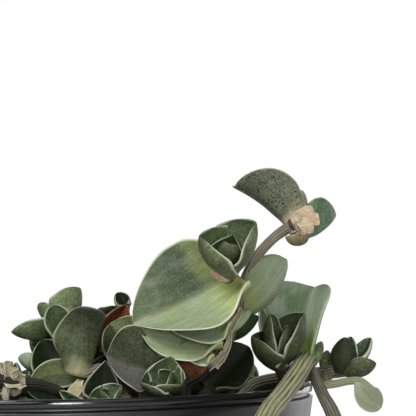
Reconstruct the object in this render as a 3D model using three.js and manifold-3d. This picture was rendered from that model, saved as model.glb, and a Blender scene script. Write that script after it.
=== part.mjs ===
// A chain plant in a round black nursery pot, as a three.js scene graph.
// Millimetres, +Z up. The origin is the centre of the pot's base, on the surface it stands on.
// Each leafy stem is one solid: its boat-shaped leaves clasp the stem and are fused to it.
import * as THREE from "three";
import { mergeVertices } from "three/addons/utils/BufferGeometryUtils.js";
import Module from "manifold-3d";

const wasm = await Module();
wasm.setup();

// The pot
const POT_HEIGHT = 95;
const RIM_RADIUS = 54.5;
const BASE_RADIUS = 41;
const WALL = 1.1;
const POT_SEGMENTS = 36;
const DRAIN_HOLES = 6;
const DRAIN_RADIUS = 4;
const DRAIN_RING = 31;

// The potting mix
const SOIL_BELOW_RIM = 8;
const SOIL_RELIEF = 0.9;
const SOIL_CROWN = 1.5;
const SOIL_SEGMENTS = 24;
const SOIL_RINGS = 4;

// Leaves and stems
const LEAF_MESH = { rows: [0, 0.18, 0.46, 0.76, 1], columns: [-1, -0.5, 0, 0.5, 1] };
const SMALL_MESH = { rows: [0, 0.24, 0.6, 0.86, 1], columns: [-1, 0, 1] };
const SMALL_LEAF = 12.5;
const LEAF_THICKNESS = 1.5;
const ROSETTE_THICKNESS = 1.2;
const NEST_THICKNESS = 1.1;
const STEM_SIDES = 6;
const STEM_STEPS = 2;
const GAP = 0.45;
const CRUMB = 0.5;
const FINEST_DETAIL = 0.12;

const COLOURS = { pot: 0x17181b, soil: 0x2b2119, leaf: 0x6d7f63, old: 0x6f6248 };

// How a leaf is shaped where its own entry doesn't say. Angles are in degrees: fold lifts each
// half at the midrib, cup curls it on to the margin, wrap closes the base round the stem,
// bendBase and bendTip bow the midrib up or down, swayBase and swayTip sideways. neck, widest
// and sharp give the outline; uneven widens one half and skew shifts where it is widest.
const PLAIN_LEAF = {
  fold: 14,
  cup: 40,
  wrap: 105,
  bendBase: 22,
  bendTip: 22,
  swayBase: 0,
  swayTip: 0,
  uneven: 0,
  skew: 0,
  neck: 0.55,
  widest: 0.42,
  sharp: 0.6,
  thickness: LEAF_THICKNESS,
};

const radians = THREE.MathUtils.degToRad;
const smooth = (x) => THREE.MathUtils.smoothstep(x, 0, 1);
const vector = (p) => new THREE.Vector3(...p);

// The lists of shoots give heights above the pot's rim.
const atRim = ([x, y, h]) => new THREE.Vector3(x, y, POT_HEIGHT + h);

function leaf(base, tip, face, width, shape = {}) {
  const plain = { base: atRim(base), tip: atRim(tip), face: vector(face), width };
  return { ...plain, shape: { ...PLAIN_LEAF, ...shape } };
}

const stem = (points, radii) => ({ points: points.map(atRim), radii });

// One leaf that leaves the axis up at an angle, with its inner face towards the axis.
function leafOnAxis(foot, up, side, tilt, length, width, shape) {
  const c = Math.cos(tilt);
  const s = Math.sin(tilt);
  const along = up.clone().multiplyScalar(c).addScaledVector(side, s);
  const face = up.clone().multiplyScalar(s).addScaledVector(side, -c);
  const tip = foot.clone().addScaledVector(along, length);
  return { base: foot, tip, face, width, shape: { ...PLAIN_LEAF, ...shape } };
}

// Leaves in a nest round an axis, the outer ones first. Each next leaf turns, closes and shrinks.
function rosette(base, axis, size, count, options = {}) {
  const { spin = 0, open = 52, close = 6, broad = 1.05, turn = 150 } = options;
  const rise = 0.08;
  const shrink = 0.42;
  const shape = {
    cup: 44, wrap: 80, neck: 0.7, bendBase: 30, bendTip: 26, thickness: ROSETTE_THICKNESS,
  };
  const up = vector(axis).normalize();
  const start = up.clone().cross(new THREE.Vector3(0.3, 0.8, 0.1)).normalize();
  return Array.from({ length: count }, (_, i) => {
    const inner = i / Math.max(count - 1, 1);
    const side = start.clone().applyAxisAngle(up, radians(spin + turn * i));
    const foot = atRim(base).addScaledVector(up, size * rise * i);
    const tilt = radians(open + (close - open) * inner);
    const length = size * (1 - shrink * inner);
    return leafOnAxis(foot, up, side, tilt, length, length * broad * (1 - 0.15 * inner), shape);
  });
}

// Leaves round an axis given one by one, the outer ones first: the way round from the left in
// degrees, the tilt from the axis, the length and the width. bowl bows all midribs alike.
function nest(base, axis, leaves, { sharp = 0.52, bowl = 32 } = {}) {
  const shape = {
    sharp, neck: 0.75, cup: 62, wrap: 80, bendBase: bowl, bendTip: bowl, thickness: NEST_THICKNESS,
  };
  const up = vector(axis).normalize();
  const left = up.clone().cross(new THREE.Vector3(0, 1, 0)).normalize();
  return leaves.map(([spin, tilt, length, width], i) => {
    const foot = atRim(base).addScaledVector(up, 0.3 * i);
    const side = left.clone().applyAxisAngle(up, radians(spin));
    return leafOnAxis(foot, up, side, radians(tilt), length, width, shape);
  });
}

// Leaves at the nodes of a stem, which turn a little more than half round from node to node.
function leavesAlong(points, size, count, options = {}) {
  const { from = 0.35, spin = 0, turn = 158, open = 62, close = 42 } = options;
  const shrink = 0.3;
  const curve = curveThrough(points.map(atRim));
  return Array.from({ length: count }, (_, i) => {
    const along = i / Math.max(count - 1, 1);
    const at = from + (0.96 - from) * along;
    const up = curve.getTangent(at);
    const start = up.clone().cross(new THREE.Vector3(0.2, 0.3, 0.9)).normalize();
    const side = start.applyAxisAngle(up, radians(spin + turn * i));
    const tilt = radians(open + (close - open) * along);
    const length = size * (1 - shrink * along);
    const shape = { wrap: 80, plain: true };
    return leafOnAxis(curve.getPoint(at), up, side, tilt, length, length * 0.85, shape);
  });
}

const curveThrough = (points) => new THREE.CatmullRomCurve3(points, false, "catmullrom", 0.5);

// The leaf's midrib: a point, its direction, the leaf's upper normal and the way across.
function midrib(one, t) {
  const { base, tip, face, shape } = one;
  const chord = tip.clone().sub(base);
  const length = chord.length();
  const along = chord.clone().normalize();
  const up = face.clone().addScaledVector(along, -face.dot(along)).normalize();
  const across = along.clone().cross(up);
  const bent = (sway, bend, turn) => {
    const way = along.clone().multiplyScalar(Math.cos(sway));
    way.addScaledVector(across, turn * Math.sin(sway)).multiplyScalar(Math.cos(bend));
    return way.addScaledVector(up, -turn * Math.sin(bend));
  };
  const angles = [shape.bendBase, shape.bendTip, shape.swayBase, shape.swayTip].map(radians);
  const [bendBase, bendTip, swayBase, swayTip] = angles;
  const leave = bent(swayBase, bendBase, 1);
  const arrive = bent(swayTip, bendTip, -1);
  const turned = angles.reduce((sum, angle) => sum + Math.abs(angle), 0);
  const pull = (0.36 * length) / Math.max(Math.cos(turned / 4), 0.5);
  const curve = new THREE.CubicBezierCurve3(
    base,
    base.clone().addScaledVector(leave, pull),
    tip.clone().addScaledVector(arrive, -pull),
    tip,
  );
  const direction = curve.getTangent(t);
  const normal = across.clone().cross(direction).normalize();
  return { point: curve.getPoint(t), normal, across: direction.clone().cross(normal) };
}

// Half the leaf's width at t, on the side -1 or 1.
function halfWidth(one, t, side) {
  const { neck, sharp, uneven, skew } = one.shape;
  const half = (one.width / 2) * (1 + side * uneven);
  const widest = one.shape.widest + side * skew;
  if (t < widest) return half * (neck + (1 - neck) * smooth(t / widest));
  const x = (t - widest) / (1 - widest);
  return Math.max(half * Math.max(1 - x * x, 0) ** sharp, 0.02 * one.width);
}

// A point of the leaf's middle sheet and the sheet's normal there. t runs from base to tip, and
// s across from margin to margin, -1 to 1.
function leafPoint(one, t, s) {
  const { point, normal, across } = midrib(one, t);
  const { fold, cup, wrap } = one.shape;
  const side = Math.sign(s);
  const half = halfWidth(one, t, side);
  const opened = smooth(t / 0.3);
  const curl = radians(wrap + (cup - wrap) * opened);
  const lift = radians(fold * opened);
  const angle = lift + curl * Math.abs(s);
  const out = ((Math.sin(angle) - Math.sin(lift)) / curl) * half * side;
  const rise = ((Math.cos(lift) - Math.cos(angle)) / curl) * half;
  const at = point.clone().addScaledVector(across, out).addScaledVector(normal, rise);
  const up = normal.clone().multiplyScalar(Math.cos(angle));
  return { at, up: up.addScaledVector(across, -side * Math.sin(angle)) };
}

// A closed leaf: an upper and a lower sheet that share their margins and the tip, split into
// triangles alike.
function leafSolid(one) {
  const positions = [];
  const faces = [];
  const sheets = [[], []];
  const small = one.shape.plain || one.base.distanceTo(one.tip) < SMALL_LEAF;
  const mesh = small ? SMALL_MESH : LEAF_MESH;
  const columns = mesh.columns.length;
  mesh.rows.slice(0, -1).forEach((t, row) => {
    const body = Math.min(1, 1.25 * (1 - t) ** 0.5) * (one.shape.thickness / 2);
    mesh.columns.forEach((s, column) => {
      const { at, up } = leafPoint(one, t, s);
      const margin = Math.abs(s) === 1;
      const rise = body * (s === 0 ? 1 : 0.85);
      sheets.forEach((sheet, side) => {
        if (margin && side === 1) {
          sheet.push(sheets[0][row * columns + column]);
          return;
        }
        const p = margin ? at : at.clone().addScaledVector(up, side === 0 ? rise : -rise);
        sheet.push(positions.length / 3);
        positions.push(p.x, p.y, p.z);
      });
    });
  });
  const tip = positions.length / 3;
  positions.push(...one.tip.toArray());
  const rows = mesh.rows.length - 1;
  const face = (a, b, c, side) => faces.push(...(side === 0 ? [a, b, c] : [a, c, b]));
  sheets.forEach((sheet, side) => {
    for (let row = 0; row < rows; row++) {
      for (let column = 0; column < columns - 1; column++) {
        const a = sheet[row * columns + column];
        const b = sheet[row * columns + column + 1];
        if (row === rows - 1) {
          face(a, b, tip, side);
          continue;
        }
        const c = sheet[(row + 1) * columns + column + 1];
        const d = sheet[(row + 1) * columns + column];
        if (mesh.columns[column] < 0) {
          face(a, b, c, side);
          face(a, c, d, side);
        } else {
          face(a, b, d, side);
          face(b, c, d, side);
        }
      }
    }
  });
  for (let column = 0; column < columns - 1; column++) {
    const [a, b] = [sheets[0][column], sheets[0][column + 1]];
    const [c, d] = [sheets[1][column + 1], sheets[1][column]];
    if (a !== d) faces.push(a, d, b);
    if (b !== c) faces.push(b, d, c);
  }
  return solidFrom(positions, faces);
}

// A stem: rings along a smooth curve, carried on without twist, with flat ends. grow makes the
// swollen copy that cuts its hole in the potting mix.
function stemSolid({ points, radii }, grow = 0) {
  const curve = curveThrough(points);
  const steps = (points.length - 1) * STEM_STEPS;
  const positions = [];
  const faces = [];
  let beside = curve.getTangent(0).cross(new THREE.Vector3(0.3, 0.9, 0.1)).normalize();
  for (let i = 0; i <= steps; i++) {
    const t = i / steps;
    const along = curve.getTangent(t);
    beside = beside.addScaledVector(along, -beside.dot(along)).normalize();
    const other = along.clone().cross(beside);
    const span = t * (points.length - 1);
    const first = Math.min(Math.floor(span), points.length - 2);
    const radius = THREE.MathUtils.lerp(radii[first], radii[first + 1], span - first) + grow;
    const shift = i === 0 ? -grow : i === steps ? grow : 0;
    const centre = curve.getPoint(t).addScaledVector(along, shift);
    for (let k = 0; k < STEM_SIDES; k++) {
      const angle = (2 * Math.PI * k) / STEM_SIDES;
      const p = centre
        .clone()
        .addScaledVector(beside, radius * Math.cos(angle))
        .addScaledVector(other, radius * Math.sin(angle));
      positions.push(p.x, p.y, p.z);
    }
  }
  for (let i = 0; i < steps; i++) {
    for (let k = 0; k < STEM_SIDES; k++) {
      const [a, b] = [i * STEM_SIDES + k, i * STEM_SIDES + ((k + 1) % STEM_SIDES)];
      faces.push(a, b, b + STEM_SIDES, a, b + STEM_SIDES, a + STEM_SIDES);
    }
  }
  const last = steps * STEM_SIDES;
  for (let k = 1; k < STEM_SIDES - 1; k++) {
    faces.push(0, k + 1, k, last, last + k, last + k + 1);
  }
  return solidFrom(positions, faces);
}

function solidFrom(positions, faces) {
  const geometry = new THREE.BufferGeometry();
  geometry.setAttribute("position", new THREE.Float32BufferAttribute(positions, 3));
  geometry.setIndex(faces);
  return solidOf(geometry);
}

function solidOf(geometry) {
  const bare = geometry.clone();
  bare.deleteAttribute("normal");
  bare.deleteAttribute("uv");
  const merged = mergeVertices(bare, 1e-4);
  const vertProperties = merged.attributes.position.array;
  const triVerts = new Uint32Array(merged.index.array);
  return new wasm.Manifold(new wasm.Mesh({ numProp: 3, vertProperties, triVerts }));
}

// The one body of a union or a cut, without the sealed hollows and crumbs that either leaves.
function oneBody(solid, name) {
  const plain = solid.simplify(FINEST_DETAIL);
  const bodies = plain.decompose().sort((a, b) => b.volume() - a.volume());
  const loose = bodies.slice(1).filter((body) => body.volume() > CRUMB);
  const where = loose.map((body) => body.boundingBox().min.map(Math.round).join(" "));
  if (loose.length > 0) console.warn(`${name} has loose pieces from ${where.join(", ")}`);
  return bodies[0];
}

function shootSolid({ stems, leaves }) {
  return wasm.Manifold.union([...stems.map((one) => stemSolid(one)), ...leaves.map(leafSolid)]);
}

function meshOf(name, solid, colour, roughness) {
  const { numProp, vertProperties, triVerts } = solid.getMesh();
  const geometry = new THREE.BufferGeometry();
  const packed = new THREE.InterleavedBuffer(vertProperties, numProp);
  geometry.setAttribute("position", new THREE.InterleavedBufferAttribute(packed, 3, 0));
  geometry.setIndex(new THREE.BufferAttribute(triVerts, 1));
  const plain = geometry.toNonIndexed();
  plain.computeVertexNormals();
  const material = new THREE.MeshStandardMaterial({ color: colour, roughness, metalness: 0 });
  const mesh = new THREE.Mesh(plain, material);
  mesh.name = name;
  return mesh;
}

// Radius of the pot's inner wall at a height.
function innerRadius(z) {
  const top = RIM_RADIUS - 2 * WALL;
  const bottom = BASE_RADIUS - WALL;
  return bottom + ((top - bottom) * z) / POT_HEIGHT;
}

// The pot: floor, tapered wall, a thin shoulder bead, a groove and the rolled lip, then the
// inside down to the floor again. Each profile point is a radius and a height.
function potSolid() {
  const h = POT_HEIGHT;
  const r = RIM_RADIUS;
  const profile = [
    [0, 0],
    [BASE_RADIUS - 0.8, 0],
    [BASE_RADIUS, 0.8],
    [r - 1.1, h - 4],
    [r, h - 3.5],
    [r, h - 3],
    [r - 0.9, h - 2.8],
    [r - 0.9, h - 1.7],
    [r - 0.15, h - 1.5],
    [r - 0.15, h - 0.6],
    [r - 0.9, h],
    [r - 2 * WALL, h - 0.5],
    [BASE_RADIUS - WALL, 1.2],
    [0, 1.2],
  ];
  const points = profile.map(([x, z]) => new THREE.Vector2(x, z));
  const wall = new THREE.LatheGeometry(points, POT_SEGMENTS).rotateX(Math.PI / 2);
  const holes = Array.from({ length: DRAIN_HOLES }, (_, i) => {
    const turn = (2 * Math.PI * i) / DRAIN_HOLES;
    const hole = new THREE.CylinderGeometry(DRAIN_RADIUS, DRAIN_RADIUS, 6, 8);
    hole.rotateX(Math.PI / 2);
    hole.translate(DRAIN_RING * Math.cos(turn), DRAIN_RING * Math.sin(turn), 0.6);
    return solidOf(hole);
  });
  return holes.reduce((pot, hole) => pot.subtract(hole), upright(solidOf(wall)));
}

// A lathe solid turned upright may come out inside out, which its volume tells.
function upright(solid) {
  if (solid.volume() > 0) return solid;
  throw new Error("a lathe profile runs the wrong way round");
}

// Potting mix that fills the pot, with a gently uneven top.
function soilSolid() {
  const top = POT_HEIGHT - SOIL_BELOW_RIM;
  const bottom = 1.2 + GAP;
  const edge = innerRadius(top) - GAP - 0.3;
  const profile = [[0, bottom], [innerRadius(bottom) - GAP - 0.6, bottom]];
  for (let ring = SOIL_RINGS; ring >= 0; ring--) profile.push([(edge * ring) / SOIL_RINGS, top]);
  const points = profile.map(([x, z]) => new THREE.Vector2(x, z));
  const lathe = new THREE.LatheGeometry(points, SOIL_SEGMENTS).rotateX(Math.PI / 2);
  const position = lathe.attributes.position;
  for (let i = 0; i < position.count; i++) {
    const [x, y, z] = [position.getX(i), position.getY(i), position.getZ(i)];
    if (z < top - 1) continue;
    const crown = SOIL_CROWN * (1 - (x * x + y * y) / (edge * edge));
    const crumbs = Math.sin(0.55 * x + 1.3) * Math.cos(0.47 * y) + 0.6 * Math.sin(0.9 * x - 0.8 * y);
    position.setZ(i, z + crown + SOIL_RELIEF * crumbs);
  }
  return upright(solidOf(lathe));
}

// Every shoot: its stems as points and radii, and its leaves as base, tip, the way the inner
// face looks, and width. Points are x, y and height over the rim.
const SHOOTS = {
  main_shoot: {
    stems: [
      stem([[29.5, -23.5, -20], [28.6, -23.8, -6], [28.6, -24, 1.2], [31.4, -24, 3.4],
        [34.6, -23.5, 5.7]],
        [2, 2, 2.2, 2.2, 1.9]),
      stem([[32.4, -23.9, 4.2], [34.6, -23.5, 5.7], [37, -22.5, 9.4], [38.8, -21.5, 13.5],
        [40.6, -20.7, 19], [42.9, -20, 24.4], [46.4, -20, 28.4],
        [50.4, -20.3, 31.2]],
        [2.1, 2, 1.7, 1.5, 1.3, 1, 0.95, 1.15]),
      stem([[40.2, -20.9, 17.5], [38.4, -22.6, 19.6],
        [37.2, -23.7, 21]],
        [1.2, 1.2, 1.2]),
      stem([[28.5, -24, -3], [27, -27.5, 0], [25.9, -31.5, 0]],
        [1.4, 1.2, 1.1]),
      stem([[27.2, -26.5, -1], [25, -27.5, 2], [23.2, -28.5, 4.2]],
        [1.3, 1.2, 1.2]),
      stem([[28.8, -23.8, -6], [31.6, -24, -3], [34, -24, 0]],
        [1.2, 1.2, 1.2]),
      stem([[50.4, -20.4, 31], [51, -20.8, 29.4]],
        [1.2, 1.4]),
    ],
    leaves: [
      leaf([40.2, -20.8, 22], [19.9, -30, 12.8], [-0.1, -0.84, 0.53], 23,
        { cup: 26, fold: 12, bendBase: 16, bendTip: 12, neck: 0.76, widest: 0.37, sharp: 0.7,
          wrap: 85, skew: -0.12 }),
      leaf([36.9, -22.4, 9.4], [20.8, -28.8, 12], [-0.1, -0.84, 0.53], 14,
        { cup: 22, bendBase: 22, bendTip: 14, sharp: 0.22, widest: 0.55, swayBase: 12,
          uneven: -0.24 }),
      leaf([38.2, -22, 13.4], [26.4, -28.6, 11.8], [-0.1, -0.84, 0.53], 10.8,
        { cup: 22, swayBase: 12, uneven: -0.3, neck: 0.7, sharp: 0.45 }),
      leaf([35.6, -25.2, 11.2], [42, -22.4, 14.8], [-0.1, 0.84, -0.53], 4.6,
        { cup: 40, widest: 0.3, thickness: 1.1 }),
      leaf([34.6, -23.8, 7], [27.8, -28.4, 7.4], [0, -0.84, 0.53], 8,
        { cup: 26, sharp: 0.42, swayBase: 14, swayTip: 14, uneven: -0.35 }),
      leaf([38.3, -20.2, 13], [49.2, -17.5, 24.4], [-0.5, 0.8, 0.45], 11.5,
        { cup: 30, sharp: 0.42, widest: 0.62 }),
      leaf([50.2, -20.5, 30.7], [39.2, -23, 38.4], [0.35, 0.65, 0.65], 12.5,
        { bendBase: -38, bendTip: -38, neck: 0.6, widest: 0.4 }),
      leaf([51.2, -19.4, 30], [58.9, -12, 31.8], [-0.35, 0.75, 0.55], 11,
        { cup: 35, sharp: 0.5 }),
      leaf([51.4, -19.2, 31.4], [53.3, -16, 36.6], [-0.8, -0.2, 0.3], 5),
      leaf([51.2, -19, 31.4], [53.4, -12, 37.6], [-0.5, -0.3, 0.7], 6.5),
      leaf([49.8, -20.8, 30.6], [54.8, -21.6, 32.4], [-0.4, 0.75, 0.5], 6.6,
        { cup: 40, sharp: 0.2, widest: 0.8, neck: 0.6, thickness: 0.8 }),
      ...nest([50.9, -20.8, 30.2], [0, -0.45, -0.9],
        [[10, 48, 2.9, 4.8], [190, 48, 2.9, 4.8], [100, 6, 2.8, 4]], { sharp: 0.35 }),
      ...nest([37.2, -23.8, 20.8], [0.05, -0.68, 0.73],
        [[8, 30, 11.4, 19], [196, 25, 13, 16.5], [190, 16, 8.8, 12.5],
          [8, 12, 7.6, 10]], { sharp: 0.45 }),
      leaf([38, -20.5, 9.6], [43.6, -18.5, 13.6], [-0.5, 0.3, 0.8], 7),
      leaf([33.8, -24, -0.4], [41.6, -22, 8], [-0.35, -0.85, 0.35], 13.5,
        { cup: 30, sharp: 0.5 }),
      leaf([29, -24.2, 0.8], [34.2, -25.8, 6.4], [-0.3, 0.85, 0.45], 9, { cup: 70 }),
      leaf([34, -24.8, 4.6], [36.4, -26.6, 9.2], [-0.3, 0.9, 0], 4.4,
        { cup: 60, sharp: 0.3, thickness: 0.8 }),
      leaf([36.8, -23.8, 9], [38.4, -25.2, 12.6], [-0.3, 0.9, 0.2], 3.4,
        { cup: 60, sharp: 0.3, thickness: 0.8 }),
      leaf([24.2, -28.6, 3.2], [15, -34.6, 7], [0.1, -0.85, 0.5], 15.6,
        { cup: 24, fold: 16, bendBase: 14, bendTip: 10, sharp: 0.32, widest: 0.6 }),
      leaf([24.6, -26.6, 3.6], [15.2, -22.4, 12.6], [0.35, -0.9, 0.25], 15,
        { cup: 26, sharp: 0.45 }),
      ...nest([25.8, -32.3, 0.4], [0.05, -0.75, 0.65],
        [[20, 50, 6.4, 10.6], [262, 44, 6.2, 10.4], [140, 40, 6, 10],
          [200, 12, 4.6, 6.4]], { sharp: 0.4 }),
    ],
  },
  left_shoot: {
    stems: [
      stem([[13.5, -29, -20], [12.5, -30, -7.6], [11.4, -30, 0.4], [8.7, -27.5, 6.4],
        [5.8, -24, 10.9], [4.8, -21.8, 13.6]],
        [1.6, 1.5, 1.3, 1.2, 1.1, 0.9]),
      stem([[13, -29.6, -8], [16, -29.4, -2], [16.2, -30.4, 3.4], [13.8, -32.4, 4.4],
        [10.8, -34, 3.4]],
        [1.1, 1.1, 1.1, 1.1, 1.2]),
    ],
    leaves: [
      leaf([10.8, -34, 3], [14.8, -29, 14.4], [-0.8, 0.55, 0.2], 13.8,
        { cup: 50, fold: 24, bendBase: 10, bendTip: 8, widest: 0.42, sharp: 0.4, neck: 0.55,
          swayBase: 22, swayTip: 34, uneven: 0.12 }),
      leaf([6.8, -27.2, 9], [4.8, -27.8, 16.4], [0.2, 0.95, 0.2], 6,
        { sharp: 0.4, widest: 0.6, cup: 10 }),
      leaf([5.6, -24.2, 10.6], [8.8, -25, 16.6], [-0.2, 0.9, 0.2], 4),
      leaf([4.9, -22, 12.6], [9.6, -19.5, 19.4], [-0.5, 0.8, 0.3], 8.5,
        { sharp: 0.6, cup: 25, widest: 0.36 }),
      leaf([5, -23.6, 11.4], [-2.8, -29.5, 11.6], [0.1, 0.6, 0.8], 8.5),
      leaf([4.8, -21.5, 13.2], [1.3, -18, 16.2], [0.6, 0.5, 0.5], 5),
      leaf([3.6, -27, 4.4], [-1.8, -27.5, 6.6], [0.3, -0.85, 0.4], 4.8,
        { sharp: 0.45, neck: 0.7 }),
      leaf([4.8, -24.5, 9.6], [0.5, -25, 8.8], [0.3, -0.85, 0.4], 5.4,
        { sharp: 0.45, neck: 0.7 }),
      leaf([6.4, -29, 1.8], [2.6, -27.2, 9.8], [0.2, -0.9, 0.3], 10.4, { cup: 30 }),
      leaf([11.4, -31.5, 2.6], [1, -34, 2.4], [0.05, -0.9, 0.35], 6.4,
        { cup: 22, swayBase: 26, swayTip: 30, thickness: 1.1 }),
      leaf([11.2, -31, 0], [0.4, -33.5, 0.6], [0.05, -0.95, 0.2], 6, { cup: 20 }),
      leaf([10.6, -34.2, 3], [8.9, -39.9, -0.4], [0.1, -0.5, 0.85], 2.8,
        { sharp: 0.35, cup: 30, thickness: 0.9 }),
      leaf([12, -29.8, 0], [14.4, -27, 6.8], [-0.2, -0.8, 0.5], 5.4),
    ],
  },
  dark_shoot: {
    stems: [
      stem([[15.8, -31, -20], [15, -33, -8], [13.4, -35.4, -2.4]],
        [1.4, 1.3, 1.2]),
    ],
    leaves: [
      leaf([14.6, -36, -3], [14.9, -35.4, 6.2], [0.15, -0.95, 0.2], 8,
        { cup: 25, sharp: 1, widest: 0.3, uneven: -0.2 }),
    ],
  },
  front_rosette: {
    stems: [
      stem([[14.6, -38, -20], [15, -39.6, -8], [15.5, -41, -2]],
        [1.2, 1.1, 1]),
    ],
    leaves: [
      ...nest([15.5, -41.4, -1.8], [0, -0.6, 0.8],
        [[20, 48, 4.6, 7.4], [200, 38, 4.5, 7], [10, 20, 3.4, 4.6]], { sharp: 0.4 }),
      leaf([15, -40.4, -5], [6.8, -43.2, 1], [0.3, -0.85, 0.3], 3.6),
    ],
  },
  right_shoot: {
    stems: [
      stem([[46.5, -6, -20], [47, -6, -8], [48.9, -8.2, -0.6], [51.9, -12, 3.8],
        [53, -12.8, 5.6]],
        [1.7, 1.6, 1.6, 1.9, 1.7]),
      stem([[51.6, -12.5, 3.2], [49.6, -12.6, 2.6], [47.6, -12.6, 3.6]],
        [1.6, 1.5, 1.4]),
      stem([[49.4, -9, -0.4], [47.8, -8.2, 3.2], [47.1, -8, 7.4]],
        [1.2, 1.1, 1]),
      stem([[53, -12, 5], [51.8, -17.4, 3.9], [50.5, -22.5, 2.3], [47.4, -32.3, -1],
        [44.3, -43, -3.8], [41.6, -52, -9], [39.4, -57, -20], [39, -59, -38],
        [39.5, -58, -58]],
        [1.9, 1.85, 1.85, 1.85, 1.85, 1.8, 1.75, 1.6, 1.4]),
      stem([[53, -13, 4.4], [54.4, -17, 1.4], [55.8, -20, -1.8], [57.4, -22, -5.1],
        [60, -25, -13], [62, -27, -28],
        [62.5, -28, -48]],
        [1.05, 1.1, 1.2, 1.4, 1.4, 1.3, 1.15]),
    ],
    leaves: [
      leaf([53.2, -12.6, 5.4], [54.8, -7, 19], [-0.5, -0.85, 0.2], 16.6,
        { neck: 0.22, widest: 0.78, sharp: 0.42, cup: 32, fold: 12, bendBase: -6, bendTip: -18,
          wrap: 80, swayTip: -12, uneven: -0.16 }),
      ...nest([47.4, -12.6, 3.4], [0, -0.5, 0.87],
        [[12, 34, 9.6, 13.5], [195, 24, 12.4, 14.5], [345, 9, 11.6, 9],
          [172, 12, 9, 7]], { sharp: 0.48 }),
      leaf([47.2, -8, 6.6], [45, -4, 17.3], [0.3, -0.9, 0.3], 6),
      leaf([54, -12.2, 4.2], [56, -9, 8.4], [0.1, 0.8, 0.3], 2.4),
      ...rosette([39.5, -58, -57], [0.1, 0.15, -1], 13, 6),
      ...rosette([62.5, -28, -47], [0.1, -0.1, -1], 11, 5, { spin: 40 }),
    ],
  },
  trailing_shoot: {
    stems: [
      stem([[37, -3, -20], [39, -3, -7], [41.5, -2.5, -1.5], [44.5, -2, 0.3], [50, -3, 1.2],
        [55.4, -4.5, 1.95], [59.5, -7, 2.6],
        [61.6, -8.4, 3.2]],
        [1.4, 1.4, 1.35, 1.3, 1.3, 1.3, 1.4, 1.2]),
      stem([[57.4, -5.8, 2.2], [57, -7.6, 1.2], [56.8, -9.4, 0.3]],
        [1.2, 1, 1]),
      stem([[56.6, -9, 0], [58.6, -9.8, 0.2], [61, -10.8, 0.6], [63.2, -11.5, 0.3],
        [65, -12.2, -0.9]],
        [0.9, 0.8, 0.75, 0.75, 0.4]),
    ],
    leaves: [
      leaf([59.7, -8.2, 1.8], [60.6, -10, 9.2], [0.3, 0.9, 0.1], 6.5),
      leaf([60.3, -7.5, 2], [61.9, -6, 9.2], [-0.3, -0.9, 0.3], 5.5),
      leaf([61.8, -8.2, 3.2], [65.8, -6, 8.9], [-0.6, -0.6, 0.4], 5.4, { sharp: 0.5 }),
      leaf([60.8, -8.6, 2.2], [66.4, -11, 4.2], [-0.1, 0.8, 0.5], 5.4),
      leaf([62.6, -11.4, 0.6], [66.5, -12.8, -4.6], [0.1, -1, 0.2], 5.4,
        { neck: 0.3, widest: 0.62, sharp: 0.45, bendBase: 0, bendTip: 0, cup: 20, fold: 8,
          wrap: 40, swayBase: 40, swayTip: 24, thickness: 1.1 }),
      leaf([56.7, -4.9, 2.6], [57.3, -4, 6.5], [0.2, 0.8, 0.2], 2.8),
    ],
  },
  old_stem: {
    stems: [
      stem([[10.2, -36.6, -20], [10, -36.8, -7], [8, -38, -0.9], [4, -39.4, 1.7],
        [-2.4, -41.8, 2.6], [-8, -43.5, 4], [-15, -45.5, 3.4],
        [-22, -47.5, 4.6]],
        [1, 1, 0.95, 1, 1.5, 1.2, 1.2, 1.1]),
      stem([[-2.6, -42, 2.4], [-3, -43, 0.4], [-2.7, -43.6, -1.4]],
        [0.9, 0.7, 0.35]),
    ],
    leaves: [
      leaf([-2.4, -41.8, 2], [-4.4, -42.6, 7], [-0.3, -0.9, 0.2], 3.4,
        { cup: 20, wrap: 60, neck: 0.8, sharp: 0.15, thickness: 0.7 }),
      leaf([-1.4, -42.4, 2], [-0.8, -43.6, 6], [0.3, -0.9, 0.2], 3.4,
        { cup: 20, wrap: 60, neck: 0.9, sharp: 0.15, thickness: 0.7 }),
      leaf([-1.8, -42.4, 2.6], [1.6, -44.4, 1], [-0.1, -0.9, 0.5], 3,
        { cup: 20, wrap: 60, neck: 0.9, sharp: 0.15, thickness: 0.7 }),
      leaf([-14.6, -45.4, 3.6], [-17, -52, 8], [0, 0.8, 0.6], 9),
      leaf([-15.2, -45.6, 3.8], [-17.5, -38, 9], [0, -0.8, 0.6], 9),
      ...rosette([-22, -47.5, 4.2], [-0.7, -0.2, 0.6], 11, 5, { spin: 20 }),
    ],
  },
  back_shoot: {
    stems: [
      stem([[20, -5, -20], [19.6, -6.5, -6], [17.4, -8.5, 5.2], [14.4, -9, 10.6],
        [12, -8.5, 12.8], [10.6, -8, 13.6]],
        [1.4, 1.3, 1.2, 1.1, 1, 0.9]),
      stem([[15.6, -9, 8.8], [17.2, -5, 12.6], [17.6, -2.4, 15.6]],
        [0.9, 0.9, 0.9]),
      stem([[17.6, -8.4, 4.4], [15, -11.6, 6], [12.8, -13.8, 7.2]],
        [1, 0.9, 0.9]),
    ],
    leaves: [
      leaf([11, -8.2, 13.4], [16.5, -8, 15.4], [0, 0.3, 0.95], 5),
      leaf([17.7, -2.2, 15.2], [15.8, -2, 18.2], [0.2, -0.8, 0.5], 4, { sharp: 0.45, neck: 0.7 }),
      leaf([12.8, -13.8, 7], [18.2, -14, 16], [0.3, -0.85, 0.2], 8, { cup: 55 }),
      leaf([19, -7.5, -2], [9, -10, 6], [0, -0.8, 0.6], 12),
      leaf([19.4, -7, -3], [30, -12, 6], [0.2, -0.8, 0.5], 12),
      leaf([19.4, -7, -4], [36, -8, 1.6], [0.2, -0.8, 0.5], 10),
    ],
  },
};

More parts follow.
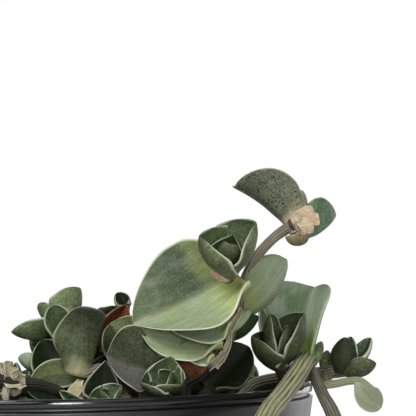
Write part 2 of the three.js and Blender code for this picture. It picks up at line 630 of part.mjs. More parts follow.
// A shoot grown by rule where the front shoots or the pot hide the plant: a bowed stem from the
// soil, leaves at its nodes and a nest of leaves at its end.
function plainShoot(points, size, count, spin, from = 0.35) {
  const radii = points.map((_, i) => 1.7 - (0.6 * i) / (points.length - 1));
  const [before, end] = points.slice(-2);
  const onward = end.map((value, i) => value - before[i]);
  return {
    stems: [stem(points, radii)],
    leaves: [
      ...leavesAlong(points, size, count, { spin, from }),
      ...rosette(end, onward, size * 0.8, 3, { spin: spin + 60, open: 40 }),
    ],
  };
}

Object.assign(SHOOTS, {
  front_left_shoot: plainShoot(
    [[-14, -20, -20], [-16, -22, -6], [-20, -26, 4], [-23, -30, 13]], 13, 4, 10),
  left_edge_shoot: plainShoot(
    [[-29, -6, -20], [-31, -7, -6], [-35, -9, 4], [-37, -13, 14]], 13, 4, 70),
  back_left_shoot: plainShoot(
    [[-22, 20, -20], [-23, 22, -6], [-26, 26, 4], [-27, 31, 12]], 13, 4, 130),
  back_middle_shoot: plainShoot([[4, 24, -20], [4, 26, -6], [3, 30, 0], [1, 35, 4]], 10, 2, 40),
  back_right_shoot: plainShoot(
    [[26, 20, -20], [27, 22, -6], [29, 26, -0.6], [32, 31, 2]], 9, 3, 100),
  centre_shoot: plainShoot([[-10, 0, -20], [-11, 1, -6], [-14, 3, 4], [-16, 3, 12]], 12, 4, 0),
  hanging_shoot: plainShoot(
    [[-34, 10, -20], [-36, 11, -7], [-42, 13, 1], [-49, 16, 4.4], [-55.5, 19, 4], [-62, 21, -3],
      [-65, 22, -18], [-64, 22, -38]],
    13, 5, 20, 0.68,
  ),
});

const root = new THREE.Group();
const pot = oneBody(potSolid(), "pot");
const shoots = Object.entries(SHOOTS).map(([name, shoot]) => {
  return { name, solid: oneBody(shootSolid(shoot), name) };
});
const feet = Object.values(SHOOTS).flatMap(({ stems }) => stems.map((one) => stemSolid(one, GAP)));
const soil = feet.reduce((mix, foot) => mix.subtract(foot), soilSolid());
root.add(meshOf("pot", pot, COLOURS.pot, 0.35));
root.add(meshOf("potting_mix", oneBody(soil, "potting_mix"), COLOURS.soil, 0.95));
shoots.forEach(({ name, solid }) => {
  root.add(meshOf(name, solid, name === "old_stem" ? COLOURS.old : COLOURS.leaf, 0.6));
});

export default root;
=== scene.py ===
import math
import random

import bpy
import numpy as np
from mathutils import Matrix, Vector, noise


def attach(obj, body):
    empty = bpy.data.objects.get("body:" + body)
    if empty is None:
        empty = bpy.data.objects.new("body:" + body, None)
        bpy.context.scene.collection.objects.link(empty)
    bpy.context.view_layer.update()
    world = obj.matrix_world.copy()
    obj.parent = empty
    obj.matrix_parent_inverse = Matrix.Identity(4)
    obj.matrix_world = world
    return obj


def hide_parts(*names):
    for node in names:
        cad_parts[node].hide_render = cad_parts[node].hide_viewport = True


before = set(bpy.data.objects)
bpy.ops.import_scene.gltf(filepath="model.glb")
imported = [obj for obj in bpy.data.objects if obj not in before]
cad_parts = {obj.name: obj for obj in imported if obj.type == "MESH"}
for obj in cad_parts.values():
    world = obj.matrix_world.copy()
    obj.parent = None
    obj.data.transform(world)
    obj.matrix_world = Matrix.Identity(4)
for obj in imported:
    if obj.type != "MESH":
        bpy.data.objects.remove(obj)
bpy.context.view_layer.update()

MM = 0.001

# The pot, in millimetres
POT_HEIGHT = 95
RIM_RADIUS = 54.5
BASE_RADIUS = 41
WALL = 1.1
BASE_THICKNESS = 1.2
POT_SEGMENTS = 180
DRAIN_HOLES = 6
DRAIN_RADIUS = 4
DRAIN_RING = 31

# The potting mix
SOIL_BELOW_RIM = 8
SOIL_FROM_WALL = 0.75
SOIL_OVER_BASE = 0.45
SOIL_RELIEF = 0.9
SOIL_CROWN = 1.5
SOIL_SEGMENTS = 140
SOIL_RINGS = 60
CRUMBS = 1500
CRUMB_SIZES = (0.5, 0.7, 0.9, 1.3, 1.9)
FALLEN_LEAVES = 16

# How finely leaves and stems are meshed
LEAF_LENGTHS = 26
LEAF_HALF_COLUMNS = 9
STEM_SIDES = 52
STEM_STEPS = 10

# Half a leaf's thickness at its margin, and the ribs round a stem
LEAF_MARGIN = 0.04
STEM_RIBS = 13

# A turned shape starts this near its axis, so that it needs no point on it
AXIS = 0.01

# The photograph's camera. Its place is given from the pot's axis and the top of the rim.
CAMERA_SIDE = 34.1
CAMERA_BACK = 500
CAMERA_OVER_RIM = 23.85
CAMERA_PITCH = 1.263
CAMERA_ROLL = -0.61
FOCAL_PIXELS = 2515
PHOTO_PIXELS = 416
SENSOR_WIDTH = 36

# The studio, in metres and watts
LIT_POINT = (0.03, -0.02, 0.11)
AMBIENT = 0.17
FLOOR_LEVEL = -0.4
FLOOR_RADIUS = 900

# A leaf's shape. Angles are in degrees: the fold at the midrib, the cup of each half, the wrap
# round the stem, and how the midrib bends and sways at both ends. The neck is the width at the
# base as a share, widest is the place of the full width, and a low sharp makes a blunt tip.
PLAIN_LEAF = {
    "fold": 14,
    "cup": 40,
    "wrap": 105,
    "bend_base": 22,
    "bend_tip": 22,
    "sway_base": 0,
    "sway_tip": 0,
    "uneven": 0,
    "skew": 0,
    "neck": 0.55,
    "widest": 0.42,
    "sharp": 0.6,
    "thickness": 1.5,
    "wave": 0.35,
}
NEST_LEAF = {"cup": 62, "wrap": 80, "neck": 0.75, "bend_base": 32, "bend_tip": 32, "thickness": 1.1}
ROSETTE_LEAF = {"cup": 44, "wrap": 80, "neck": 0.7, "bend_base": 30, "bend_tip": 26, "thickness": 1.2}


# Vectors and curves

def unit(v):
    v = np.asarray(v, float)
    return v / np.linalg.norm(v)


def turned(v, axis, degrees):
    a = math.radians(degrees)
    v = np.asarray(v, float)
    across = np.cross(axis, v)
    return v * math.cos(a) + across * math.sin(a) + axis * (axis @ v) * (1 - math.cos(a))


def smooth(x):
    x = np.clip(x, 0, 1)
    return x * x * (3 - 2 * x)


def at_rim(point):
    return np.array([point[0], point[1], POT_HEIGHT + point[2]], float)


def curve_point(points, t):
    """A point of the smooth curve through the points, with t from 0 to 1."""
    count = len(points)
    span = min(t * (count - 1), count - 1 - 1e-6)
    first = int(span)
    w = span - first
    p1 = points[first]
    p2 = points[first + 1]
    p0 = points[first - 1] if first > 0 else 2 * p1 - p2
    p3 = points[first + 2] if first + 2 < count else 2 * p2 - p1
    t0 = 0.5 * (p2 - p0)
    t1 = 0.5 * (p3 - p1)
    return p1 + t0 * w + (3 * (p2 - p1) - 2 * t0 - t1) * w**2 + (2 * (p1 - p2) + t0 + t1) * w**3


def curve_direction(points, t):
    step = 1e-3
    return unit(curve_point(points, min(t + step, 1)) - curve_point(points, max(t - step, 0)))


# The plant's parts as plain data

def leaf(base, tip, face, width, finish="boat", **shape):
    """A leaf from base to tip in millimetres from the rim's middle, its inner side toward face."""
    return {
        "base": at_rim(base),
        "tip": at_rim(tip),
        "face": np.array(face, float),
        "width": width,
        "finish": finish,
        **PLAIN_LEAF,
        **shape,
    }


def stem(points, radii, finish="brown"):
    return {"points": [at_rim(p) for p in points], "radii": radii, "finish": finish}


def leaf_on_axis(foot, up, side, tilt, length, width, finish, shape):
    """A leaf that leans from an axis to a side by its tilt in degrees."""
    c = math.cos(math.radians(tilt))
    s = math.sin(math.radians(tilt))
    return {
        "base": foot,
        "tip": foot + (up * c + side * s) * length,
        "face": up * s - side * c,
        "width": width,
        "finish": finish,
        **PLAIN_LEAF,
        **shape,
    }


def rosette(base, axis, size, count, spin=0, opened=52, finish="nest"):
    """Leaves in a nest round an axis, the outer ones first."""
    closed = 6
    rise = 0.08
    turn = 150
    shrink = 0.42
    broad = 1.05
    narrowed = 0.15
    up = unit(axis)
    start = unit(np.cross(up, (0.3, 0.8, 0.1)))
    leaves = []
    for i in range(count):
        inner = i / max(count - 1, 1)
        side = turned(start, up, spin + turn * i)
        foot = at_rim(base) + up * size * rise * i
        tilt = opened + (closed - opened) * inner
        length = size * (1 - shrink * inner)
        width = length * broad * (1 - narrowed * inner)
        leaves.append(leaf_on_axis(foot, up, side, tilt, length, width, finish, ROSETTE_LEAF))
    return leaves


def nest(base, axis, leaves, finish="nest", sharp=0.52):
    """Leaves round an axis that are given one by one: the way round from the left in degrees,
    the tilt from the axis, the length and the width."""
    rise = 0.3
    up = unit(axis)
    left = unit(np.cross(up, (0, 1, 0)))
    shape = {**NEST_LEAF, "sharp": sharp}
    made = []
    for i, (spin, tilt, length, width) in enumerate(leaves):
        foot = at_rim(base) + up * rise * i
        side = turned(left, up, spin)
        made.append(leaf_on_axis(foot, up, side, tilt, length, width, finish, shape))
    return made


def leaves_along(points, size, count, spin, start):
    """Leaves at the nodes of a stem, which turn a little less than half round each time."""
    last = 0.96
    turn = 158
    shrink = 0.3
    broad = 0.85
    opened = 62
    closed = 42
    path = [at_rim(p) for p in points]
    leaves = []
    for i in range(count):
        along = i / max(count - 1, 1)
        at = start + (last - start) * along
        up = curve_direction(path, at)
        side = turned(unit(np.cross(up, (0.2, 0.3, 0.9))), up, spin + turn * i)
        tilt = opened + (closed - opened) * along
        length = size * (1 - shrink * along)
        foot = curve_point(path, at)
        leaves.append(leaf_on_axis(foot, up, side, tilt, length, length * broad, "boat", {"wrap": 80}))
    return leaves


def offset(foot, way, reach, size):
    """A young rosette at the end of a short runner that lies on the soil."""
    lean = 0.35
    x, y = foot
    c = math.cos(math.radians(way))
    s = math.sin(math.radians(way))
    points = [(x + c * reach * part, y + s * reach * part, height)
              for part, height in ((0, -9), (0.45, -5.4), (0.8, -5), (1, -3.6))]
    young = rosette(points[-1], (lean * c, lean * s, 1), size, 5, spin=way, opened=62)
    return stem(points, [0.9, 0.8, 0.75, 0.8]), young


def plain_shoot(points, size, count, spin, start=0.35, offsets=()):
    """A stem with leaves at its nodes, small ones between them, and young rosettes at its foot."""
    thick = 1.7
    taper = 0.6
    radii = [thick - taper * i / (len(points) - 1) for i in range(len(points))]
    onward = [b - a for a, b in zip(points[-2], points[-1])]
    tip = [p + 0.12 * w for p, w in zip(points[-1], onward)]
    young = [offset(points[1][:2], *one) for one in offsets]
    return [
        stem(points, radii),
        *[runner for runner, _ in young],
        *leaves_along(points, size, count, spin, start),
        *leaves_along(points, size * 0.6, count + 1, spin + 95, start + 0.06),
        *rosette(points[-1], onward, size * 0.8, 3, spin=spin + 60, opened=40),
        *rosette(tip, onward, size * 0.55, 3, spin=spin + 130, opened=30),
        *[one for _, leaves in young for one in leaves],
    ]


# The shoots. The names are those of the solids, and each is a list of stems and leaves.

SHOOTS = {
    "main_shoot": [
        # The foot of the stem, painted near black as shade, the old stem that rises to the right, and the
        # young stem
        stem([(29.5, -23.5, -20), (28.6, -23.8, -6), (28.6, -24, 1.2), (31.4, -24, 3.4),
              (34.6, -23.5, 5.7)], [2, 2, 2.2, 2.2, 1.9], "dark"),
        stem([(32.4, -23.9, 4.2), (34.6, -23.5, 5.7), (37, -22.5, 9.4), (38.8, -21.5, 13.5),
              (40.6, -20.7, 19)], [2, 1.8, 1.4, 1.3, 1.15], "old"),
        stem([(38.8, -21.5, 13.5), (40.6, -20.7, 19), (42.9, -20, 24.4), (46.4, -20, 28.4),
              (50.4, -20.3, 31.2)], [1.2, 1.3, 1, 0.95, 1.15]),
        # The stalk of the small rosette, and short runners among the lower leaves
        stem([(40.2, -20.9, 17.5), (38, -22.6, 20.4), (36.6, -23.7, 22.4)], [1.1, 0.8, 0.7], "olive"),
        stem([(28.5, -24, -3), (27, -27.5, 0), (25.9, -31.5, 0)], [1.4, 1.2, 1.1], "dark"),
        stem([(27.2, -26.5, -1), (25, -27.5, 2), (23.2, -28.5, 4.2)], [1.3, 1.2, 1.2], "dark"),
        stem([(28.8, -23.8, -6), (31.6, -24, -3), (34, -24, 0)], [1.2, 1.2, 1.2], "dark"),
        # The top node
        stem([(50.4, -20.4, 31), (51, -20.8, 29.4)], [1.2, 1.4], "husk"),
        stem([(49.8, -20.6, 30.6), (50.4, -20.7, 30.9)], [1.3, 1.7], "purple"),
        # The large broad leaves, from the top down, and a small one seen from below
        leaf((39.3, -20.9, 21.9), (19.9, -30, 12.8), (-0.1, -0.84, 0.53), 23, "broad", cup=26, fold=12,
             bend_base=16, bend_tip=12, neck=0.76, widest=0.37, sharp=0.7, wrap=85, skew=-0.12),
        leaf((36.9, -22.4, 9.4), (20.8, -28.8, 12), (-0.1, -0.84, 0.53), 14, "broad", cup=22,
             bend_base=22, bend_tip=14, sharp=0.22, widest=0.55, sway_base=12, uneven=-0.24),
        leaf((38.2, -22, 13.4), (26.4, -28.6, 11.8), (-0.1, -0.84, 0.53), 10.8, "broad", cup=22,
             sway_base=12, uneven=-0.3, neck=0.7, sharp=0.45),
        leaf((35.6, -25.2, 11.2), (42, -22.4, 14.8), (-0.1, 0.84, -0.53), 4.6, "pale", cup=40, widest=0.3,
             thickness=1.1),
        leaf((34.6, -23.8, 7), (27.8, -28.4, 7.4), (0, -0.84, 0.53), 8, "broad", cup=26, sharp=0.42,
             sway_base=14, sway_tip=14, uneven=-0.35),
        # The pale leaf behind the stem
        leaf((38.3, -20.2, 13), (49.2, -17.5, 24.4), (-0.5, 0.8, 0.45), 11.5, "pale", cup=30, sharp=0.42,
             widest=0.62),
        # The top shoot: a keeled leaf, a green one and small ones behind them
        leaf((50.2, -20.5, 30.7), (39.2, -23, 38.4), (0.35, 0.65, 0.65), 12.5, "crown", bend_base=-38,
             bend_tip=-38, neck=0.6, widest=0.4),
        leaf((51.2, -19.4, 30.6), (58.9, -12, 32.9), (-0.35, 0.75, 0.55), 11, "crest", cup=35, sharp=0.5),
        leaf((51, -19.6, 31.6), (51.6, -18, 36.6), (-0.6, -0.7, 0.3), 5.6, "dark", cup=30),
        leaf((51.2, -19, 31.4), (52.4, -13, 37.6), (-0.2, 0.6, 0.7), 6.5),
        # Ragged sheath round the top node, and the bud
        *[leaf((50, -21, 31 + 0.4 * rise), (50 + reach, -21.6, 31 + rise), (-0.1, 0.95, 0.2),
               width, "sheath", cup=16, wrap=30, fold=3, bend_base=6, bend_tip=4, sharp=0.16,
               widest=0.8, neck=0.8, thickness=0.6, wave=2.6, uneven=0.12 * rise)
          for reach, rise, width in ((4.4, 2.2, 2.8), (5.3, 1, 2.6), (4.2, -0.4, 2.6), (2.8, -1.4, 2))],
        leaf((49.2, -21, 28.9), (53.2, -21.2, 28.5), (0, 0.1, 1), 4.6, "bud", cup=80, wrap=80,
             bend_base=76, bend_tip=72, neck=0.8, sharp=0.3, thickness=1, wave=1.6),
        # The small rosette over its bract
        leaf((38.6, -25.4, 20.8), (34.6, -27.4, 22.6), (0.2, 0.9, 0.1), 4.4, "sheath", cup=60, sharp=0.25,
             thickness=0.8, wave=1.6),
        *nest((37.6, -24.4, 22.4), (0.12, -0.68, 0.73), [(12, 36, 10.8, 16)], "bright", sharp=0.45),
        *nest((38, -23.4, 22.8), (0.12, -0.68, 0.73), [(204, 19, 12, 15.6)], "bright", sharp=0.45),
        *nest((37.3, -24.2, 22.8), (0.12, -0.68, 0.73), [(255, 12, 7.6, 11), (75, 2, 6.4, 9.6)],
              sharp=0.26),
        # Leaves in the shade at the stem's foot
        leaf((38, -20.5, 9.6), (43.6, -18.5, 13.6), (-0.5, 0.3, 0.8), 7, "dark"),
        leaf((33.8, -24, -0.4), (41.6, -22, 8), (-0.35, -0.85, 0.35), 13.5, "shaded", cup=30, sharp=0.5),
        leaf((29, -24.2, 0.8), (34.2, -25.8, 6.4), (-0.3, 0.85, 0.45), 9, "dry", cup=70),
        # Strips of old sheath on the stem's foot
        *[leaf((x, -25.6, z), (x + lean, -26.6, z + rise), (-0.3, -0.9, 0), width, finish,
               cup=50, wrap=60, sharp=0.2, neck=0.8, thickness=0.6, wave=3, uneven=0.25)
          for x, z, lean, rise, width, finish in (
              (33.6, 4, 3.4, 3.4, 1.8, "papery"), (36.2, 5.4, 1.8, 4.4, 1.7, "papery"),
              (37.6, 8.4, 0.2, 3.6, 1.5, "husk"), (37, 10, 2, 3.2, 1.8, "papery"),
              (35.2, 4.2, 1.6, 2.4, 1.4, "husk"), (38.4, 12, 1.8, 3.6, 1.5, "husk"))],
        # The lowest leaves in front, and a nest of young ones
        leaf((24.2, -28.6, 3.2), (15, -34.6, 7), (0.1, -0.85, 0.5), 15.6, "purple", cup=24, fold=16,
             bend_base=14, bend_tip=10, sharp=0.32, widest=0.6),
        leaf((24.6, -26.6, 3.6), (15.2, -22.4, 12.6), (0.35, -0.9, 0.25), 15, "olive", cup=26,
             sharp=0.45),
        *nest((25.8, -32.3, 0.4), (0.05, -0.75, 0.65),
              [(20, 50, 6.4, 10.6), (262, 44, 6.2, 10.4), (140, 40, 6, 10), (200, 12, 4.6, 6.4)],
              sharp=0.4),
    ],
    "left_shoot": [
        stem([(13.5, -29, -20), (12.5, -30, -7.6), (11.4, -30, 0.4), (8.7, -27.5, 6.4), (5.8, -24, 10.9),
              (4.8, -21.8, 13.6)], [1.6, 1.5, 1.3, 1.2, 1.1, 0.9]),
        stem([(13, -29.6, -8), (16, -29.4, -2), (16.2, -30.4, 3.4), (13.8, -32.4, 4.4), (10.8, -34, 3.4)],
             [1.1, 1.1, 1.1, 1.1, 1.2], "husk"),
        # The large keeled leaf, then the small leaves from the tip down
        leaf((10.8, -34, 3), (14.8, -29, 14.4), (-0.8, 0.55, 0.2), 13.8, "keeled", cup=50, fold=24,
             bend_base=10, bend_tip=8, widest=0.42, sharp=0.4, neck=0.55, sway_base=22, sway_tip=34,
             uneven=0.12),
        leaf((6.8, -27.2, 9), (4.8, -27.8, 16.4), (0.1, -0.95, 0.25), 6, "nest", sharp=0.4, widest=0.6,
             cup=30),
        leaf((5.6, -24.2, 10.6), (8.8, -25, 16.6), (-0.2, 0.9, 0.2), 4),
        leaf((4.9, -22, 12.6), (9.6, -19.5, 19.4), (-0.5, 0.8, 0.3), 8.5, sharp=0.6, cup=25, widest=0.36),
        leaf((5, -23.6, 11.4), (-2.8, -29.5, 11.6), (0.1, 0.6, 0.8), 8.5),
        leaf((4.8, -21.5, 13.2), (1.3, -18, 16.2), (0.6, 0.5, 0.5), 5),
        leaf((3.6, -27, 4.4), (-1.8, -27.5, 6.6), (0.3, 0.85, 0.4), 4.8, "pale", sharp=0.45, neck=0.7),
        leaf((4.8, -24.5, 9.6), (0.5, -25, 8.8), (0.3, -0.85, 0.4), 5.4, sharp=0.45, neck=0.7),
        leaf((6.4, -29, 1.8), (2.6, -27.2, 9.8), (0.2, -0.9, 0.3), 10.4, "dark", cup=30),
        leaf((11.4, -31.5, 2.6), (1, -34, 2.4), (0.05, -0.9, 0.35), 6.4, "olive", cup=22, sway_base=26,
             sway_tip=30, thickness=1.1),
        leaf((11.2, -31, 0), (0.4, -33.5, 0.6), (0.05, -0.95, 0.2), 6, "dark", cup=20),
        leaf((10.2, -34.2, 2.4), (8.1, -39.9, -1.2), (0.1, -0.5, 0.85), 3, "husk", sharp=0.35, cup=30,
             thickness=0.9),
        leaf((12, -29.8, 0), (14.4, -27, 6.8), (-0.2, -0.8, 0.5), 5.4, "dark"),
    ],
    "dark_shoot": [
        stem([(15.8, -31, -20), (15, -33, -8), (13.4, -35.4, -2.4)], [1.4, 1.3, 1.2]),
        leaf((14.6, -36, -3), (14.9, -35.4, 6.2), (0.15, -0.95, 0.2), 8, "dark", cup=25, sharp=1,
             widest=0.3, uneven=-0.2),
    ],
    "front_rosette": [
        stem([(14.6, -38, -20), (15, -39.6, -8), (15.5, -41, -2)], [1.2, 1.1, 1]),
        *nest((15.5, -41.4, -1.8), (0, -0.6, 0.8),
              [(20, 48, 4.6, 7.4), (200, 38, 4.5, 7), (10, 20, 3.4, 4.6)], sharp=0.4),
        leaf((15, -40.4, -5), (6.8, -43.2, 1), (0.3, -0.85, 0.3), 3.6),
    ],
    "right_shoot": [
        # The rosette's own stem and its branches
        stem([(46.5, -6, -20), (47, -6, -8), (48.9, -8.2, -0.6), (51.9, -12, 3.8), (53, -12.8, 5.6)],
             [1.7, 1.6, 1.6, 1.9, 1.7], "olive"),
        stem([(51.6, -12.5, 3.2), (49.6, -12.6, 2.6), (47.6, -12.6, 3.6)], [1.6, 1.5, 1.4], "olive"),
        stem([(49.4, -9, -0.4), (47.8, -8.2, 3.2), (47.1, -8, 7.4)], [1.2, 1.1, 1]),
        # The thick stolon and the thin grey one
        stem([(53, -12, 5), (51.8, -17.4, 3.9), (50.5, -22.5, 2.3), (47.4, -32.3, -1), (44.3, -43, -3.8),
              (41.6, -52, -9), (39.4, -57, -20), (39, -59, -38), (39.5, -58, -58)],
             [1.9, 1.85, 1.85, 1.85, 1.85, 1.8, 1.75, 1.6, 1.4], "olive"),
        stem([(53, -13, 4.4), (54.4, -17, 1.4), (55.8, -20, -1.8), (57.4, -22, -5.1), (60, -25, -13),
              (62, -27, -28), (62.5, -28, -48)], [1.05, 1.1, 1.2, 1.4, 1.4, 1.3, 1.15], "grey"),
        # The tall leaf, and the nest in front of it
        leaf((53.2, -12.6, 5.4), (54.8, -7, 19), (-0.5, -0.85, 0.2), 16.6, "tall", neck=0.22, widest=0.78,
             sharp=0.42, cup=32, fold=12, bend_base=-6, bend_tip=-18, wrap=80, sway_tip=-12,
             uneven=-0.16),
        *nest((47.4, -12.6, 3.4), (0, -0.5, 0.87),
              [(12, 34, 9.6, 13.5), (195, 24, 12.4, 14.5), (345, 9, 11.6, 9), (172, 12, 9, 7)],
              sharp=0.48),
        leaf((47.2, -8, 6.6), (45, -4, 17.3), (0.3, -0.9, 0.3), 6, "pale"),
        leaf((54, -12.2, 4.2), (56, -9, 8.4), (0.1, 0.8, 0.3), 2.4),
        # The plantlets at the ends of the stolons
        *rosette((39.5, -58, -57), (0.1, 0.15, -1), 13, 6, finish="boat"),
        *rosette((62.5, -28, -47), (0.1, -0.1, -1), 11, 5, spin=40, finish="boat"),
    ],
    "trailing_shoot": [
        stem([(37, -3, -20), (39, -3, -7), (41.5, -2.5, -1.5), (44.5, -2, 0.3), (50, -3, 1.2),
              (55.4, -4.5, 1.95), (59.5, -7, 2.6), (61.6, -8.4, 3.2)],
             [1.4, 1.4, 1.35, 1.3, 1.3, 1.3, 1.4, 1.2]),
        stem([(57.4, -5.8, 2.2), (57, -7.6, 1.2), (56.8, -9.4, 0.3)], [1.2, 1, 1]),
        stem([(56.6, -9, 0), (58.6, -9.8, 0.2), (61, -10.8, 0.7), (63.4, -11.5, 0.7),
              (65.6, -12.2, -0.6)], [0.9, 0.8, 0.75, 0.75, 0.4], "spoon"),
        leaf((59.7, -8.2, 1.8), (60.6, -10, 9.2), (0.3, 0.9, 0.1), 6.5, "dark"),
        leaf((60.3, -7.5, 2), (61.9, -6, 9.2), (-0.3, -0.9, 0.3), 5.5),
        leaf((61.8, -8.2, 3.2), (65.8, -6, 8.9), (-0.6, -0.6, 0.4), 5.4, sharp=0.5),
        leaf((60.8, -8.6, 2.2), (66.4, -11, 4.2), (-0.1, 0.8, 0.5), 5.4, "nest"),
        # The leaf that hangs over the rim
        leaf((63, -11.4, 0.9), (67.3, -12.8, -4.2), (0.1, -1, 0.2), 5.4, "spoon", neck=0.3, widest=0.62,
             sharp=0.45, bend_base=0, bend_tip=0, cup=20, fold=8, wrap=40, sway_base=40, sway_tip=24,
             thickness=1.1),
        leaf((56.7, -4.9, 2.6), (57.3, -4, 6.5), (0.2, 0.8, 0.2), 2.8),
    ],
    "old_stem": [
        stem([(10.2, -36.6, -20), (10, -36.8, -7), (8, -38, -0.9), (4, -39.4, 1.7), (-2.4, -41.8, 2.6),
              (-8, -43.5, 4), (-15, -45.5, 3.4), (-22, -47.5, 4.6)], [1, 1, 0.95, 1, 1.5, 1.2, 1.2, 1.1],
             "dark"),
        stem([(-2.6, -42, 2.4), (-3, -43, 0.4), (-2.7, -43.6, -1.4)], [0.9, 0.7, 0.35], "root"),
        # Scraps of dry sheath round the node
        *[leaf((-2 + 0.3 * side, -42.2, 2), (-2 + side, -42.8 - 0.3 * lean, 2 + rise),
               (0.5 * lean, -0.9 * lean, 0.25), width, "papery", cup=30, wrap=50, neck=0.9,
               sharp=0.15, thickness=0.6, wave=3, uneven=0.3 * lean)
          for side, rise, width, lean in (
              (-2.4, 4.2, 2.6, -1), (-0.8, 4.6, 2.4, 1), (0.8, 3.4, 2.2, -1),
              (1.8, 2.2, 2.4, 1), (1.6, -1.4, 2.4, -1), (-2.6, 1, 2.4, 1))],
        leaf((0.8, -42, 2.6), (-3.4, -43.4, 2.8), (0.1, -0.9, 0.4), 5.4, "papery", cup=64, wrap=90,
             neck=0.6, sharp=0.16, thickness=0.7, wave=2.4),
        leaf((-14.6, -45.4, 3.6), (-17, -52, 8), (0, 0.8, 0.6), 9),
        leaf((-15.2, -45.6, 3.8), (-17.5, -38, 9), (0, -0.8, 0.6), 9),
        *rosette((-22, -47.5, 4.2), (-0.7, -0.2, 0.6), 11, 5, spin=20, finish="boat"),
    ],
    "back_shoot": [
        stem([(20, -5, -20), (19.6, -6.5, -6), (17.4, -8.5, 5.2), (14.4, -9, 10.6), (12, -8.5, 12.8),
              (10.6, -8, 13.6)], [1.4, 1.3, 1.2, 1.1, 1, 0.9], "dark"),
        stem([(15.6, -9, 8.8), (17.2, -5, 12.6), (17.6, -2.4, 15.6)], [0.9, 0.9, 0.9], "dark"),
        stem([(17.6, -8.4, 4.4), (15, -11.6, 6), (12.8, -13.8, 7.2)], [1, 0.9, 0.9], "dark"),
        leaf((11, -8.2, 13.4), (16.5, -8, 15.4), (0, 0.3, 0.95), 5, "dark"),
        leaf((17.7, -2.2, 15.2), (15.8, -2, 18.2), (0.2, -0.8, 0.5), 4, "dark", sharp=0.45, neck=0.7),
        leaf((12.8, -13.8, 7), (18.2, -14, 16), (0.3, -0.85, 0.2), 8, "dry", cup=55),
        leaf((19, -7.5, -2), (9, -10, 6), (0, -0.8, 0.6), 12, "dark"),
        leaf((19.4, -7, -3), (30, -12, 6), (0.2, -0.8, 0.5), 12, "dark"),
        leaf((19.4, -7, -4), (36, -8, 1.6), (0.2, -0.8, 0.5), 10, "dark"),
    ],
    "front_left_shoot": plain_shoot(
        [(-14, -20, -20), (-16, -22, -6), (-20, -26, 4), (-23, -30, 13)], 13, 4, 10,
        offsets=[(320, 9, 7), (40, 11, 7), (160, 13, 7.5), (240, 14, 7)]),
    "left_edge_shoot": plain_shoot(
        [(-29, -6, -20), (-31, -7, -6), (-35, -9, 4), (-37, -13, 14)], 13, 4, 70,
        offsets=[(20, 10, 7), (205, 12, 7.5), (110, 9, 6)]),
    "back_left_shoot": plain_shoot(
        [(-22, 20, -20), (-23, 22, -6), (-26, 26, 4), (-27, 31, 12)], 13, 4, 130,
        offsets=[(330, 12, 8), (60, 13, 7), (170, 13, 7.5)]),
    "back_middle_shoot": plain_shoot(
        [(4, 24, -20), (4, 26, -6), (3, 30, 0), (1, 35, 4)], 10, 2, 40,
        offsets=[(60, 13, 8), (150, 12, 8), (250, 13, 7.5), (10, 11, 7)]),
    "back_right_shoot": plain_shoot(
        [(26, 20, -20), (27, 22, -6), (29, 26, -0.6), (32, 31, 2)], 9, 3, 100,
        offsets=[(340, 14, 8.5), (60, 12, 7.5), (215, 13, 8), (130, 14, 7)]),
    "centre_shoot": plain_shoot(
        [(-10, 0, -20), (-11, 1, -6), (-14, 3, 4), (-16, 3, 12)], 12, 4, 0,
        offsets=[(350, 13, 8), (80, 11, 7), (280, 12, 8), (130, 10, 6)]),
    "hanging_shoot": plain_shoot(
        [(-34, 10, -20), (-36, 11, -7), (-42, 13, 1), (-49, 16, 4.4), (-55.5, 19, 4),
         (-62, 21, -3), (-65, 22, -18), (-64, 22, -38)],
        13, 5, 20, start=0.68),
}


# Shader nodes

class Nodes:
    """Adds nodes to a tree; an input may be a value or another node's output."""

    def __init__(self, tree):
        self.tree = tree

    def fill(self, socket, value):
        if isinstance(value, bpy.types.NodeSocket):
            self.tree.links.new(value, socket)
        else:
            colour = isinstance(value, tuple) and socket.type == "RGBA"
            socket.default_value = (*value, 1) if colour else value

    def add(self, kind, inputs=None, **settings):
        node = self.tree.nodes.new(kind)
        for key, value in settings.items():
            setattr(node, key, value)
        for key, value in (inputs or {}).items():
            self.fill(node.inputs[key], value)
        return node

    def group(self, tree, inputs):
        return self.add("ShaderNodeGroup", inputs, node_tree=tree).outputs

    def math(self, operation, a, b=0.0):
        return self.add("ShaderNodeMath", {0: a, 1: b}, operation=operation).outputs[0]

    def sum(self, a, b):
        return self.math("ADD", a, b)

    def product(self, first, *others):
        for other in others:
            first = self.math("MULTIPLY", first, other)
        return first

    def rest(self, share):
        return self.math("SUBTRACT", 1.0, share)

    def range(self, value, low, high, to_low=0.0, to_high=1.0):
        inputs = {"Value": value, "From Min": low, "From Max": high, "To Min": to_low, "To Max": to_high}
        node = self.add("ShaderNodeMapRange", inputs, interpolation_type="SMOOTHSTEP")
        return node.outputs["Result"]

    def mix(self, factor, a, b):
        node = self.add("ShaderNodeMix", {"Factor": factor}, data_type="RGBA")
        for key, value in (("A", a), ("B", b)):
            self.fill(next(s for s in node.inputs if s.name == key and s.type == "RGBA"), value)
        return next(s for s in node.outputs if s.type == "RGBA")

    def scaled(self, colour, factor):
        return self.add("ShaderNodeVectorMath", {0: colour, 3: factor}, operation="SCALE").outputs[0]

    def noise(self, vector, scale, detail, rough=0.55):
        inputs = {"Vector": vector, "Scale": scale, "Detail": detail, "Roughness": rough}
        return self.add("ShaderNodeTexNoise", inputs).outputs["Fac"]

    def stretched(self, vector, scale):
        return self.add("ShaderNodeMapping", {"Vector": vector, "Scale": scale}).outputs["Vector"]

    def attribute(self, name, output="Fac"):
        return self.add("ShaderNodeAttribute", attribute_name=name).outputs[output]


